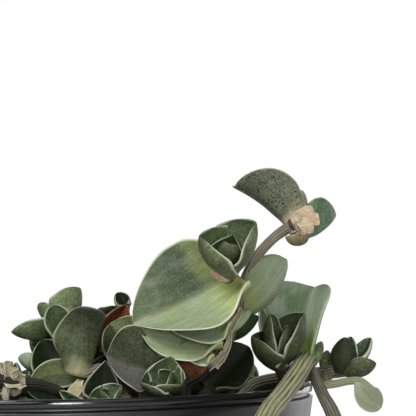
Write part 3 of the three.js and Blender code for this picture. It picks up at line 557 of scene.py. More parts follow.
def group(name, inputs, outputs):
    """An empty node group with its sockets: its nodes, what it is given and what it puts out."""
    tree = bpy.data.node_groups.new(name, "ShaderNodeTree")
    kinds = {"colour": "NodeSocketColor", "value": "NodeSocketFloat", "vector": "NodeSocketVector"}
    for way, sockets in (("INPUT", inputs), ("OUTPUT", outputs)):
        for socket, kind in sockets.items():
            tree.interface.new_socket(socket, in_out=way, socket_type=kinds[kind])
    given = tree.nodes.new("NodeGroupInput").outputs
    return Nodes(tree), given, tree.nodes.new("NodeGroupOutput").inputs


def patchy_dots(n, given, place, scale, outside, inside, patches):
    """Round dots, fainter between loose patches, times the amount that is given."""
    cells = n.add("ShaderNodeTexVoronoi", {"Vector": place, "Scale": scale})
    dots = n.range(cells.outputs["Distance"], outside, inside)
    return n.product(dots, patches, given["Amount"])


def flecks_group():
    """Short pale dashes that lie along the veins."""
    n, given, result = group("flecks", {"Place": "vector", "Amount": "value"}, {"Mask": "value"})
    patches = n.range(n.noise(given["Place"], 0.5, 2), 0.3, 0.7, 0.35, 1.0)
    place = n.stretched(given["Place"], (1, 0.5, 1))
    n.fill(result["Mask"], patchy_dots(n, given, place, 3.2, 0.36, 0.12, patches))
    return n.tree


def veins_group():
    """Fine parallel veins from base to tip, as a value round one half."""
    n, given, result = group("veins", {"Place": "vector"}, {"Value": "value"})
    fine = n.noise(n.stretched(given["Place"], (3.2, 0.16, 1)), 1.0, 4)
    broad = n.noise(n.stretched(given["Place"], (0.9, 0.10, 1)), 1.0, 2)
    n.fill(result["Value"], n.sum(n.product(fine, 0.6), n.product(broad, 0.4)))
    return n.tree


def specks_group():
    """Dark round specks, as on the backs of the leaves, most of them in loose patches."""
    n, given, result = group("specks", {"Place": "vector", "Amount": "value"}, {"Shade": "value"})
    patches = n.range(n.noise(given["Place"], 0.45, 3), 0.38, 0.6, 0.3, 1.0)
    n.fill(result["Shade"], n.rest(patchy_dots(n, given, given["Place"], 2.4, 0.5, 0.2, patches)))
    return n.tree


def face_colour(n, g, vein, blotch, near_half):
    """Two halves inside the leaf, coloured with painted light and shade, and mottled tones outside."""
    inner = n.mix(near_half, g["Inner"], g["Inner Near Half"])
    shade = n.range(n.sum(blotch, n.product(vein, 0.6)), 0.6, 1.0)
    return n.mix(g["Inner Face"], n.mix(shade, g["Outer"], g["Outer Shade"]), inner)


def creased_and_bloomed(n, g, colour, from_midrib):
    """The dry line on the midrib near the tip, then pale clouds of wax."""
    on_midrib = n.product(n.range(from_midrib, 0.14, 0.0), n.range(g["Along"], 0.45, 0.9))
    creased = n.mix(n.product(on_midrib, g["Crease Amount"], g["Inner Face"]), colour, CREASE_COLOUR)
    clouds = n.noise(n.stretched(g["Place"], (0.34, 0.16, 1)), 1.0, 3)
    return n.mix(n.product(n.range(clouds, 0.42, 0.68), g["Bloom"]), creased, BLOOM_COLOUR)


def leaf_tone(n, g, vein, speck, far_shade):
    """How light each point is: veins, the leaf's own tone, grain, specks and the shaded parts."""
    grain = n.range(n.noise(g["Place"], 2.0, 3, 0.7), 0.35, 0.65, -0.34, 0.28)
    to_tip = n.product(n.range(g["Along"], 0.3, 0.95), g["Tip Shade"])
    from_base = n.product(far_shade, n.range(g["Along"], 0.35, 0.95, 1.0, 0.0))
    return n.product(
        n.range(vein, 0.3, 0.7, 0.84, 1.16),
        n.range(g["Tone"], 0.0, 1.0, 0.88, 1.12),
        n.sum(n.product(grain, g["Grain"]), 1.0),
        speck,
        n.rest(to_tip),
        n.rest(from_base),
    )


def base_tinted(n, g, vein, blotch, far_shade, colour):
    """The colour of the clasping base, streaked by the veins, fades out toward the tip."""
    uneven_along = n.sum(g["Along"], n.range(blotch, 0.3, 0.7, -0.06, 0.06))
    at_base = n.product(n.range(uneven_along, 0.0, g["Base Reach"], 1.0, 0.0), n.rest(far_shade))
    return n.mix(at_base, colour, n.scaled(g["Base"], n.range(vein, 0.3, 0.7, 0.7, 1.25)))


def leaf_group(flecks, veins, specks):
    """A leaf's colour, roughness and relief from where each point lies on the leaf."""
    values = (
        "Across", "Along", "Inner Face", "Tone", "Base Reach", "Margin Width", "Fleck Amount", "Specks",
        "Grain", "Bloom", "Far Shade", "Crease Amount", "Tip Shade",
    )
    colours = ("Inner", "Inner Near Half", "Outer", "Outer Shade", "Base", "Margin", "Fleck")
    inputs = {"Place": "vector", **dict.fromkeys(values, "value"), **dict.fromkeys(colours, "colour")}
    n, g, result = group("leaf", inputs, {"Colour": "colour", "Roughness": "value", "Height": "value"})
    vein = n.group(veins, {"Place": g["Place"]})["Value"]
    fleck = n.group(flecks, {"Place": g["Place"], "Amount": g["Fleck Amount"]})["Mask"]
    speck = n.group(specks, {"Place": g["Place"], "Amount": g["Specks"]})["Shade"]
    blotch = n.noise(g["Place"], 0.22, 3)
    from_midrib = n.math("ABSOLUTE", g["Across"])
    near_half = n.range(g["Across"], 0.12, -0.12)
    far_shade = n.product(g["Inner Face"], n.rest(near_half), g["Far Shade"])
    colour = face_colour(n, g, vein, blotch, near_half)
    colour = creased_and_bloomed(n, g, colour, from_midrib)
    colour = n.scaled(colour, leaf_tone(n, g, vein, speck, far_shade))
    colour = n.mix(fleck, colour, g["Fleck"])
    colour = base_tinted(n, g, vein, blotch, far_shade, colour)
    at_margin = n.range(from_midrib, n.rest(g["Margin Width"]), 1.0)
    n.fill(result["Colour"], n.mix(n.product(at_margin, 0.85), colour, g["Margin"]))
    n.fill(result["Roughness"], n.range(blotch, 0.3, 0.7, 0.48, 0.62))
    n.fill(result["Height"], n.sum(vein, n.product(fleck, 0.35)))
    return n.tree


def new_material(name):
    material = bpy.data.materials.new(name)
    material.use_nodes = True
    return material, Nodes(material.node_tree), material.node_tree.nodes["Principled BSDF"]


def bumped(n, shader, height, distance, strength):
    inputs = {"Height": height, "Distance": distance, "Strength": strength}
    n.fill(shader.inputs["Normal"], n.add("ShaderNodeBump", inputs).outputs["Normal"])


# What the leaves and stems look like

CREASE_COLOUR = (0.24, 0.20, 0.10)
BLOOM_COLOUR = (0.33, 0.38, 0.33)


def leaf_look(inner, outer, base, margin, flecks, specks=0.3, grain=0.6, bloom=0.04, far_shade=0.0,
              crease=0.0, tip_shade=0.0):
    """Two tones inside, two outside, the base with its reach, the margin with its width, the pale
    flecks with their amount, and how strong the other effects are."""
    return {
        "Inner": inner[0],
        "Inner Near Half": inner[1],
        "Outer": outer[0],
        "Outer Shade": outer[1],
        "Base": base[0],
        "Base Reach": base[1],
        "Margin": margin[0],
        "Margin Width": margin[1],
        "Fleck": flecks[0],
        "Fleck Amount": flecks[1],
        "Specks": specks,
        "Grain": grain,
        "Bloom": bloom,
        "Far Shade": far_shade,
        "Crease Amount": crease,
        "Tip Shade": tip_shade,
    }


LEAF_FINISHES = {
    "boat": leaf_look(
        inner=[(0.016, 0.032, 0.011), (0.024, 0.045, 0.017)],
        outer=[(0.128, 0.166, 0.072), (0.066, 0.09, 0.036)],
        base=((0.19, 0.17, 0.09), 0.18),
        margin=((0.42, 0.45, 0.34), 0.12),
        flecks=((0.36, 0.40, 0.32), 0.45),
        specks=0.45, grain=0.7,
    ),
    "nest": leaf_look(
        inner=[(0.045, 0.072, 0.026), (0.056, 0.085, 0.034)],
        outer=[(0.07, 0.09, 0.04), (0.036, 0.048, 0.018)],
        base=((0.12, 0.11, 0.07), 0.12),
        margin=((0.40, 0.42, 0.33), 0.1),
        flecks=((0.32, 0.34, 0.28), 0.4),
        specks=0.35, grain=0.8,
    ),
    # A lighter copy of the nest look, as painted light on the small rosette's two outer leaves
    "bright": leaf_look(
        inner=[(0.095, 0.14, 0.062), (0.105, 0.15, 0.07)],
        outer=[(0.10, 0.122, 0.062), (0.055, 0.068, 0.032)],
        base=((0.15, 0.13, 0.08), 0.14),
        margin=((0.40, 0.42, 0.33), 0.1),
        flecks=((0.32, 0.34, 0.28), 0.4),
        specks=0.35, grain=0.9,
    ),
    "broad": leaf_look(
        inner=[(0.105, 0.14, 0.07), (0.25, 0.31, 0.165)],
        outer=[(0.20, 0.24, 0.13), (0.15, 0.19, 0.10)],
        base=((0.34, 0.41, 0.13), 0.42),
        margin=((0.55, 0.56, 0.42), 0.05),
        flecks=((0.42, 0.47, 0.38), 0.3),
        specks=0.08, grain=0.3, bloom=0.36, far_shade=0.46, crease=0.9,
    ),
    "pale": leaf_look(
        inner=[(0.155, 0.21, 0.125), (0.19, 0.25, 0.15)],
        outer=[(0.225, 0.27, 0.17), (0.18, 0.225, 0.135)],
        base=((0.14, 0.17, 0.03), 0.7),
        margin=((0.45, 0.48, 0.38), 0.05),
        flecks=((0.36, 0.40, 0.33), 0.25),
        specks=0.08, grain=0.25, bloom=0.25,
    ),
    # Near black leaves that stand for leaves lying in shadow: painted shade
    "dark": leaf_look(
        inner=[(0.004, 0.009, 0.002), (0.006, 0.013, 0.003)],
        outer=[(0.022, 0.034, 0.012), (0.016, 0.022, 0.011)],
        base=((0.20, 0.17, 0.10), 0.14),
        margin=((0.30, 0.32, 0.24), 0.07),
        flecks=((0.14, 0.17, 0.12), 0.12),
        bloom=0,
    ),
    "shaded": leaf_look(
        inner=[(0.004, 0.008, 0.002), (0.006, 0.011, 0.003)],
        outer=[(0.024, 0.034, 0.018), (0.016, 0.022, 0.011)],
        base=((0.02, 0.02, 0.01), 0.14),
        margin=((0.06, 0.07, 0.045), 0.05),
        flecks=((0.07, 0.08, 0.05), 0.3),
        bloom=0,
    ),
    # The keeled leaf: its inner side painted near black as shade in its hollow, and darker toward the tip
    "keeled": leaf_look(
        inner=[(0.01, 0.022, 0.006), (0.014, 0.03, 0.009)],
        outer=[(0.042, 0.057, 0.024), (0.038, 0.054, 0.022)],
        base=((0.28, 0.265, 0.15), 0.26),
        margin=((0.36, 0.36, 0.24), 0.08),
        flecks=((0.12, 0.14, 0.08), 0.25),
        specks=0.55, grain=0.9, tip_shade=0.75,
    ),
    "tall": leaf_look(
        inner=[(0.235, 0.29, 0.20), (0.08, 0.12, 0.06)],
        outer=[(0.16, 0.20, 0.13), (0.12, 0.155, 0.10)],
        base=((0.13, 0.19, 0.035), 0.6),
        margin=((0.34, 0.38, 0.27), 0.04),
        flecks=((0.30, 0.35, 0.26), 0.15),
        specks=0.05, grain=0.2, bloom=0.25,
    ),
    "spoon": leaf_look(
        inner=[(0.17, 0.19, 0.125), (0.14, 0.16, 0.10)],
        outer=[(0.20, 0.22, 0.14), (0.15, 0.17, 0.10)],
        base=((0.24, 0.26, 0.17), 0.3),
        margin=((0.33, 0.35, 0.26), 0.06),
        flecks=((0.32, 0.34, 0.26), 0.2),
        specks=0.05, grain=0.25, bloom=0.2,
    ),
    "bud": leaf_look(
        inner=[(0.20, 0.17, 0.09), (0.20, 0.17, 0.09)],
        outer=[(0.16, 0.135, 0.065), (0.08, 0.066, 0.03)],
        base=((0.20, 0.17, 0.09), 0.3),
        margin=((0.40, 0.37, 0.23), 0.12),
        flecks=((0.34, 0.31, 0.20), 0.3),
    ),
    "purple": leaf_look(
        inner=[(0.05, 0.065, 0.03), (0.125, 0.12, 0.11)],
        outer=[(0.065, 0.06, 0.038), (0.05, 0.045, 0.03)],
        base=((0.10, 0.10, 0.05), 0.15),
        margin=((0.42, 0.42, 0.32), 0.05),
        flecks=((0.24, 0.25, 0.19), 0.5),
        grain=0.8,
    ),
    "crest": leaf_look(
        inner=[(0.04, 0.08, 0.03), (0.05, 0.09, 0.035)],
        outer=[(0.11, 0.177, 0.098), (0.06, 0.103, 0.06)],
        base=((0.22, 0.26, 0.10), 0.3),
        margin=((0.38, 0.42, 0.32), 0.07),
        flecks=((0.26, 0.34, 0.26), 0.4),
        specks=0.7, grain=0.7,
    ),
    "crown": leaf_look(
        inner=[(0.06, 0.07, 0.045), (0.06, 0.07, 0.045)],
        outer=[(0.104, 0.114, 0.072), (0.07, 0.075, 0.046)],
        base=((0.38, 0.31, 0.20), 0.23),
        margin=((0.38, 0.38, 0.30), 0.06),
        flecks=((0.24, 0.26, 0.21), 0.4),
        specks=1, grain=0.7, tip_shade=0.15,
    ),
    "olive": leaf_look(
        inner=[(0.105, 0.133, 0.051), (0.043, 0.058, 0.024)],
        outer=[(0.12, 0.13, 0.06), (0.07, 0.08, 0.035)],
        base=((0.20, 0.17, 0.10), 0.2),
        margin=((0.40, 0.42, 0.30), 0.1),
        flecks=((0.26, 0.28, 0.18), 0.4),
    ),
    "sheath": leaf_look(
        inner=[(0.42, 0.34, 0.22), (0.42, 0.34, 0.22)],
        outer=[(0.42, 0.36, 0.23), (0.36, 0.24, 0.17)],
        base=((0.12, 0.05, 0.06), 0.25),
        margin=((0.50, 0.46, 0.33), 0.08),
        flecks=((0.46, 0.42, 0.28), 0.3),
        specks=0.1,
    ),
    "papery": leaf_look(
        inner=[(0.27, 0.25, 0.17), (0.32, 0.29, 0.19)],
        outer=[(0.38, 0.34, 0.25), (0.19, 0.165, 0.10)],
        base=((0.06, 0.045, 0.03), 0.3),
        margin=((0.52, 0.48, 0.38), 0.08),
        flecks=((0.48, 0.44, 0.34), 0.4),
    ),
    "husk": leaf_look(
        inner=[(0.30, 0.26, 0.15), (0.30, 0.26, 0.15)],
        outer=[(0.30, 0.27, 0.15), (0.13, 0.11, 0.06)],
        base=((0.40, 0.34, 0.22), 0.3),
        margin=((0.45, 0.42, 0.28), 0.08),
        flecks=((0.42, 0.38, 0.26), 0.3),
    ),
    "dry": leaf_look(
        inner=[(0.16, 0.045, 0.018), (0.12, 0.035, 0.014)],
        outer=[(0.17, 0.055, 0.02), (0.045, 0.02, 0.01)],
        base=((0.10, 0.06, 0.03), 0.15),
        margin=((0.26, 0.14, 0.07), 0.05),
        flecks=((0.30, 0.18, 0.10), 0.3),
        grain=1.2,
    ),
}

# The colours of a stem's grooves, painted dark as shade, of its ribs and of the patches on it
STEM_FINISHES = {
    "brown": ((0.055, 0.048, 0.032), (0.20, 0.185, 0.125), (0.12, 0.075, 0.07)),
    "olive": ((0.03, 0.032, 0.016), (0.30, 0.30, 0.16), (0.16, 0.17, 0.075)),
    "old": ((0.008, 0.005, 0.003), (0.085, 0.06, 0.036), (0.24, 0.19, 0.11)),
    "grey": ((0.022, 0.02, 0.014), (0.12, 0.115, 0.08), (0.06, 0.045, 0.038)),
    # Near black stems that lie in shadow: painted shade
    "dark": ((0.006, 0.006, 0.004), (0.024, 0.024, 0.014), (0.016, 0.012, 0.009)),
    "husk": ((0.07, 0.06, 0.045), (0.25, 0.22, 0.16), (0.16, 0.12, 0.10)),
    "purple": ((0.02, 0.008, 0.012), (0.09, 0.045, 0.055), (0.06, 0.02, 0.03)),
    "spoon": ((0.17, 0.19, 0.10), (0.27, 0.29, 0.18), (0.24, 0.24, 0.15)),
    "root": ((0.22, 0.19, 0.14), (0.45, 0.42, 0.34), (0.35, 0.30, 0.22)),
}


def leaf_material(name, look, leaf_tree):
    material, n, shader = new_material("leaf_" + name)
    places = {
        "Place": n.attribute("leaf_mm", "Vector"),
        "Across": n.attribute("across"),
        "Along": n.attribute("along"),
        "Inner Face": n.attribute("inner_face"),
        "Tone": n.attribute("tone"),
    }
    finish = n.group(leaf_tree, {**places, **look})
    n.fill(shader.inputs["Base Color"], finish["Colour"])
    n.fill(shader.inputs["Roughness"], finish["Roughness"])
    shader.inputs["Specular IOR Level"].default_value = 0.15
    shader.inputs["Subsurface Weight"].default_value = 0.08
    shader.inputs["Subsurface Radius"].default_value = (0.9, 1.0, 0.4)
    shader.inputs["Subsurface Scale"].default_value = 0.001
    bumped(n, shader, finish["Height"], 0.00012, 0.6)
    return material


def stem_material(name, groove, rib_colour, tint):
    """Pale fibres on the ribs, grooves painted dark as shade, and patches of another tint."""
    material, n, shader = new_material("stem_" + name)
    place = n.attribute("stem_mm", "Vector")
    fibres = n.noise(n.stretched(place, (2.4, 2.4, 0.16)), 1.0, 4)
    patches = n.noise(place, 0.35, 2)
    light = n.range(n.sum(n.product(n.attribute("rib"), 0.55), fibres), 0.35, 1.05)
    colour = n.mix(light, groove, rib_colour)
    n.fill(shader.inputs["Base Color"], n.mix(n.range(patches, 0.5, 0.72, 0.0, 0.6), colour, tint))
    shader.inputs["Roughness"].default_value = 0.6
    shader.inputs["Specular IOR Level"].default_value = 0.3
    bumped(n, shader, light, 0.0002, 0.7)
    return material


def pot_material():
    """Glossy black plastic with fine scuffs, a little dust and flow marks from moulding."""
    material, n, shader = new_material("black_plastic")
    place = n.add("ShaderNodeTexCoord").outputs["Object"]
    dust = n.noise(n.stretched(place, (60, 60, 60)), 1.0, 5, 0.65)
    scuffs = n.noise(n.stretched(place, (900, 900, 40)), 1.0, 3)
    dusty = n.range(dust, 0.52, 0.75, 0.0, 0.5)
    n.fill(shader.inputs["Base Color"], n.mix(dusty, (0.002, 0.002, 0.003), (0.014, 0.013, 0.012)))
    height = n.add("ShaderNodeSeparateXYZ", {0: place}).outputs["Z"]
    on_wall = n.range(height, (POT_HEIGHT - 1.7) * MM, (POT_HEIGHT - 2) * MM, 0.0, 0.22)
    worn = n.sum(n.range(dust, 0.4, 0.7, 0.07, 0.22), n.range(scuffs, 0.6, 0.8, 0.0, 0.1))
    n.fill(shader.inputs["Roughness"], n.sum(worn, on_wall))
    shader.inputs["Specular IOR Level"].default_value = 0.55
    ripples = n.noise(n.stretched(place, (22, 22, 260)), 1.0, 2)
    bumped(n, shader, n.sum(n.product(scuffs, 0.2), ripples), 0.00015, 0.5)
    return material


def soil_material():
    """Dark peat with brown chips of bark, told apart by each chip's tone."""
    material, n, shader = new_material("potting_mix")
    place = n.add("ShaderNodeTexCoord").outputs["Object"]
    grain = n.noise(place, 900, 6, 0.7)
    lumps = n.noise(place, 160, 3)
    peat = n.mix(n.range(grain, 0.35, 0.7), (0.012, 0.008, 0.005), (0.055, 0.036, 0.022))
    bark = n.mix(n.range(lumps, 0.35, 0.65), (0.045, 0.022, 0.012), (0.10, 0.06, 0.032))
    n.fill(shader.inputs["Base Color"], n.mix(n.range(n.attribute("tone"), 0.45, 0.75), peat, bark))
    shader.inputs["Roughness"].default_value = 0.9
    shader.inputs["Specular IOR Level"].default_value = 0.25
    bumped(n, shader, n.sum(grain, lumps), 0.0006, 0.9)
    return material


def floor_material():
    material, _, shader = new_material("pale_floor")
    shader.inputs["Base Color"].default_value = (0.78, 0.78, 0.77, 1)
    shader.inputs["Roughness"].default_value = 0.7
    return material


def make_materials():
    leaf_tree = leaf_group(flecks_group(), veins_group(), specks_group())
    materials = {"pot": pot_material(), "soil": soil_material(), "floor": floor_material()}
    for name, look in LEAF_FINISHES.items():
        materials["leaf_" + name] = leaf_material(name, look, leaf_tree)
    for name, look in STEM_FINISHES.items():
        materials["stem_" + name] = stem_material(name, *look)
    return materials


# Meshes

class Mesh:
    """Gathers vertices, faces, values at each vertex and a material for each face."""

    def __init__(self):
        self.vertices = []
        self.faces = []
        self.materials = []
        self.values = {}
        self.count = 0

    def add(self, vertices, faces, material, **values):
        self.vertices.append(np.asarray(vertices, float))
        self.faces.extend([i + self.count for i in face] for face in faces)
        self.materials.extend([material] * len(faces))
        for key, value in values.items():
            self.values.setdefault(key, []).append((self.count, np.asarray(value, float)))
        self.count += len(vertices)

    def object(self, name, materials):
        names = sorted(set(self.materials))
        mesh = bpy.data.meshes.new(name)
        mesh.from_pydata((np.concatenate(self.vertices) * MM).tolist(), [], self.faces)
        for key, parts in self.values.items():
            vector = parts[0][1].ndim == 2
            data = np.zeros((self.count, 3) if vector else self.count)
            for start, value in parts:
                data[start:start + len(value)] = value
            layer = mesh.attributes.new(key, "FLOAT_VECTOR" if vector else "FLOAT", "POINT")
            layer.data.foreach_set("vector" if vector else "value", data.ravel())
        for key in names:
            mesh.materials.append(materials[key])
        mesh.polygons.foreach_set("material_index", [names.index(key) for key in self.materials])
        mesh.polygons.foreach_set("use_smooth", [True] * len(mesh.polygons))
        mesh.update()
        return placed(bpy.data.objects.new(name, mesh))


def placed(made):
    bpy.context.scene.collection.objects.link(made)
    return made


def midrib(one, t):
    """Points of the midrib, with the way across and the inner normal at each, and its length."""
    chord = one["tip"] - one["base"]
    length = np.linalg.norm(chord)
    along = chord / length
    up = unit(one["face"] - (one["face"] @ along) * along)
    across = np.cross(along, up)
    bends = [math.radians(one[key]) for key in ("bend_base", "bend_tip", "sway_base", "sway_tip")]
    b0, b1, s0, s1 = bends
    leave = (along * math.cos(s0) + across * math.sin(s0)) * math.cos(b0) - up * math.sin(b0)
    arrive = (along * math.cos(s1) - across * math.sin(s1)) * math.cos(b1) + up * math.sin(b1)
    pull = 0.36 * length / max(math.cos(sum(map(abs, bends)) / 4), 0.5)
    p = [one["base"], one["base"] + leave * pull, one["tip"] - arrive * pull, one["tip"]]
    t = t[:, None]
    u = 1 - t
    point = u**3 * p[0] + 3 * u * u * t * p[1] + 3 * u * t * t * p[2] + t**3 * p[3]
    way = u * u * (p[1] - p[0]) + 2 * u * t * (p[2] - p[1]) + t * t * (p[3] - p[2])
    way /= np.linalg.norm(way, axis=1)[:, None]
    normal = np.cross(across, way)
    normal /= np.linalg.norm(normal, axis=1)[:, None]
    return point, np.cross(way, normal), normal, length


def half_width(one, t, side=0):
    half = one["width"] / 2 * (1 + side * one["uneven"])
    widest = one["widest"] + side * one["skew"]
    near = one["neck"] + (1 - one["neck"]) * smooth(t / widest)
    x = np.clip((t - widest) / (1 - widest), 0, 1)
    far = np.maximum(1 - x * x, 0) ** one["sharp"]
    return np.maximum(half * np.where(t < widest, near, far), 0.02 * one["width"])


def leaf_sheet(one, number, t, s):
    """A grid of points through the middle of a leaf's thickness, and the inner normal at each.
    t runs from base to tip, and s from the midrib to the margin."""
    wrapped = 0.3
    crease = 0.09
    point, across, normal, length = midrib(one, t)
    opened = smooth(t / wrapped)
    curl = np.radians(one["wrap"] + (one["cup"] - one["wrap"]) * opened)
    lift = np.radians(one["fold"] * opened)
    middle = (s[1:] + s[:-1]) / 2
    bend = lift[:, None] * np.tanh(middle / crease) + curl[:, None] * middle
    at_midrib = np.zeros((len(t), 1))
    outs = []
    rises = []
    for side in (-1, 1):
        step = np.diff(s) * half_width(one, t, side)[:, None]
        out = np.concatenate([at_midrib, np.cumsum(np.cos(bend) * step, 1)], 1)
        rise = np.concatenate([at_midrib, np.cumsum(np.sin(bend) * step, 1)], 1)
        ripple = np.sin(t * 9 + 2.399 * number + side) * one["wave"] * half_width(one, t) / 8
        outs.append(side * out)
        rises.append(rise + ripple[:, None] * s**3 * opened[:, None])
    out, rise = [np.concatenate([left[:, :0:-1], right], 1)[..., None] for left, right in (outs, rises)]
    sheet = point[:, None] + across[:, None] * out + normal[:, None] * rise
    up = np.cross(np.gradient(sheet, axis=0), np.gradient(sheet, axis=1))
    up /= np.maximum(np.linalg.norm(up, axis=2), 1e-9)[..., None]
    up *= np.sign(np.sum(up * normal[:, None], 2).mean())
    return sheet, up, length


def shell_faces(rows, columns):
    """Faces of two sheets that lie over each other and are joined at their edges."""
    size = (rows + 1) * columns
    faces = []
    for i in range(rows):
        for j in range(columns - 1):
            a = i * columns + j
            quad = (a, a + 1, a + 1 + columns, a + columns)
            faces.append(quad)
            faces.append(tuple(size + k for k in reversed(quad)))
        for j in (0, columns - 1):
            a = i * columns + j
            edge = (a, a + columns, size + a + columns, size + a)
            faces.append(edge if j == 0 else edge[::-1])
    for j in range(columns - 1):
        faces.append((j, size + j, size + j + 1, j + 1))
        a = rows * columns + j
        faces.append((a, a + 1, size + a + 1, size + a))
    return faces


def add_leaf(mesh, one, number):
    """One leaf: two sheets that meet in a rounded margin, thick at the midrib. Its number moves
    its pattern and sets its tone."""
    t = 1 - (1 - np.linspace(0, 1, LEAF_LENGTHS + 1)) ** 1.25
    s = 1 - (1 - np.linspace(0, 1, LEAF_HALF_COLUMNS + 1)) ** 1.3
    sheet, up, length = leaf_sheet(one, number, t, s)
    across = np.concatenate([-s[:0:-1], s])
    body = one["thickness"] / 2 * np.minimum(1, 1.25 * np.sqrt(1 - t + 1e-4))
    swell = body[:, None] * (np.sqrt(np.maximum(1 - np.abs(across) ** 2.2, 0)) * 0.86 + 0.14)
    swell[:, [0, -1]] = LEAF_MARGIN
    raised = up * swell[..., None]
    flat = across[None] * half_width(one, t)[:, None]
    down = np.broadcast_to((t * length)[:, None], flat.shape)
    place = np.stack([flat, down, np.full_like(flat, number * 7.31)], 2).reshape(-1, 3)
    on_outer = (0, 0, 50)
    mesh.add(
        np.concatenate([(sheet + raised).reshape(-1, 3), (sheet - raised).reshape(-1, 3)]),
        shell_faces(LEAF_LENGTHS, len(across)),
        "leaf_" + one["finish"],
        leaf_mm=np.concatenate([place, place + on_outer]),
        across=np.tile(np.broadcast_to(across[None], flat.shape).ravel(), 2),
        along=np.tile(np.broadcast_to(t[:, None], flat.shape).ravel(), 2),
        inner_face=np.repeat((1.0, 0.0), flat.size),
        tone=np.full(2 * flat.size, (0.37 + 0.618 * number) % 1),
    )


def add_stem(mesh, one, number):
    """A round stem with fine ribs, carried along its curve without twist."""
    groove = 0.965
    relief = 0.045
    points = one["points"]
    steps = (len(points) - 1) * STEM_STEPS
    vertices = []
    places = []
    ribs = []
    beside = unit(np.cross(curve_direction(points, 0), (0.3, 0.9, 0.1)))
    length = 0
    before = points[0]
    for i in range(steps + 1):
        t = i / steps
        along = curve_direction(points, t)
        beside = unit(beside - (beside @ along) * along)
        other = np.cross(along, beside)
        radius = np.interp(t * (len(points) - 1), range(len(points)), one["radii"])
        centre = curve_point(points, t)
        length += np.linalg.norm(centre - before)
        before = centre
        for k in range(STEM_SIDES):
            angle = 2 * math.pi * k / STEM_SIDES
            c = math.cos(angle)
            s = math.sin(angle)
            rib = 0.5 + 0.5 * math.cos(STEM_RIBS * angle)
            r = radius * (groove + relief * rib)
            vertices.append(centre + beside * r * c + other * r * s)
            places.append((c * radius, s * radius, length + 31 * number))
            ribs.append(rib)
    faces = []
    for i in range(steps):
        for k in range(STEM_SIDES):
            a = i * STEM_SIDES + k
            b = i * STEM_SIDES + (k + 1) % STEM_SIDES
            faces.append((a, b, b + STEM_SIDES, a + STEM_SIDES))
    faces.append(tuple(range(STEM_SIDES - 1, -1, -1)))
    faces.append(tuple(range(steps * STEM_SIDES, (steps + 1) * STEM_SIDES)))
    mesh.add(vertices, faces, "stem_" + one["finish"], stem_mm=places, rib=ribs)


def make_shoot(name, parts, materials):
    """One shoot. Its name gives its first number, so that no two shoots have the same patterns."""
    first = sum(map(ord, name)) % 97
    mesh = Mesh()
    for i, one in enumerate(part for part in parts if "points" in part):
        add_stem(mesh, one, first + i)
    for i, one in enumerate(part for part in parts if "points" not in part):
        add_leaf(mesh, one, first + i)
    made = mesh.object(name + "_growth", materials)
    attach(made, "root")
    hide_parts(name)


def lathe(profile, segments):
    """Vertices and faces of a profile of radius and height turned round Z."""
    vertices = []
    for k in range(segments):
        angle = 2 * math.pi * k / segments
        vertices += [(r * math.cos(angle), r * math.sin(angle), z) for r, z in profile]
    count = len(profile)
    faces = []
    for k in range(segments):
        for i in range(count - 1):
            a = k * count + i
            b = (k + 1) % segments * count + i
            faces.append((a, b, b + 1, a + 1))
    return vertices, faces


def arc(centre_r, centre_z, radius, start, end, steps=5):
    """Points of a rounded corner of a profile, with its angles in degrees."""
    angles = [math.radians(start + (end - start) * i / steps) for i in range(steps + 1)]
    return [(centre_r + radius * math.cos(a), centre_z + radius * math.sin(a)) for a in angles]


def inner_radius(z):
    top = RIM_RADIUS - 2 * WALL
    bottom = BASE_RADIUS - WALL
    return bottom + (top - bottom) * z / POT_HEIGHT


def make_pot(materials):
    """The pot's wall, turned from the middle of its base out, up, over the lip and down inside.
    The shoulder, neck and lip are measured from the lip's width and top."""
    h = POT_HEIGHT
    r = RIM_RADIUS
    foot = [(AXIS, 0), (BASE_RADIUS - 4, 0), *arc(BASE_RADIUS - 1, 1, 1, -90, -8)]
    shoulder = [(r - 0.3, h - 4.5), *arc(r - 0.35, h - 2.6, 0.3, -10, 75)]
    neck = [(r - 0.85, h - 2.25), *arc(r - 0.85, h - 2.05, 0.2, -100, -180, 3)]
    neck += [(r - 1.05, h - 1.75), *arc(r - 0.85, h - 1.65, 0.15, 180, 110, 3)]
    lip = arc(r - 2.31, h - 0.8, 2.2, -18, 12, 6) + arc(r - 0.56, h - 0.4, 0.4, 20, 90, 5)
    lip += arc(r - 1.6, h - 0.85, 0.7, 90, 175, 4)
    inside = [(inner_radius(h - 6), h - 6), (inner_radius(4), 4)]
    inside += [(inner_radius(BASE_THICKNESS) - 1, BASE_THICKNESS), (AXIS, BASE_THICKNESS)]
    vertices, faces = lathe(foot + shoulder + neck + lip + inside, POT_SEGMENTS)
    mesh = Mesh()
    mesh.add(vertices, faces, "pot")
    made = mesh.object("nursery_pot", materials)
    cut_drain_holes(made)
    made.data.set_sharp_from_angle(angle=math.radians(50))
    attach(made, "root")
    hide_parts("pot")


def cut_drain_holes(pot):
    below = -2
    above = 4
    profile = [(0.001, below), (DRAIN_RADIUS, below), (DRAIN_RADIUS, above), (0.001, above)]
    vertices, faces = lathe(profile, 32)
    holes = Mesh()
    for i in range(DRAIN_HOLES):
        turn = 2 * math.pi * i / DRAIN_HOLES
        x = DRAIN_RING * math.cos(turn)
        y = DRAIN_RING * math.sin(turn)
        holes.add([(vx + x, vy + y, vz) for vx, vy, vz in vertices], faces, "pot")
    cutter = holes.object("drain_holes", {"pot": pot.data.materials[0]})
    boolean = pot.modifiers.new("holes", "BOOLEAN")
    boolean.operation = "DIFFERENCE"
    boolean.object = cutter
    boolean.solver = "EXACT"
    cut = bpy.data.meshes.new_from_object(pot.evaluated_get(bpy.context.evaluated_depsgraph_get()))
    pot.modifiers.clear()
    pot.data = cut
    bpy.data.objects.remove(cutter)


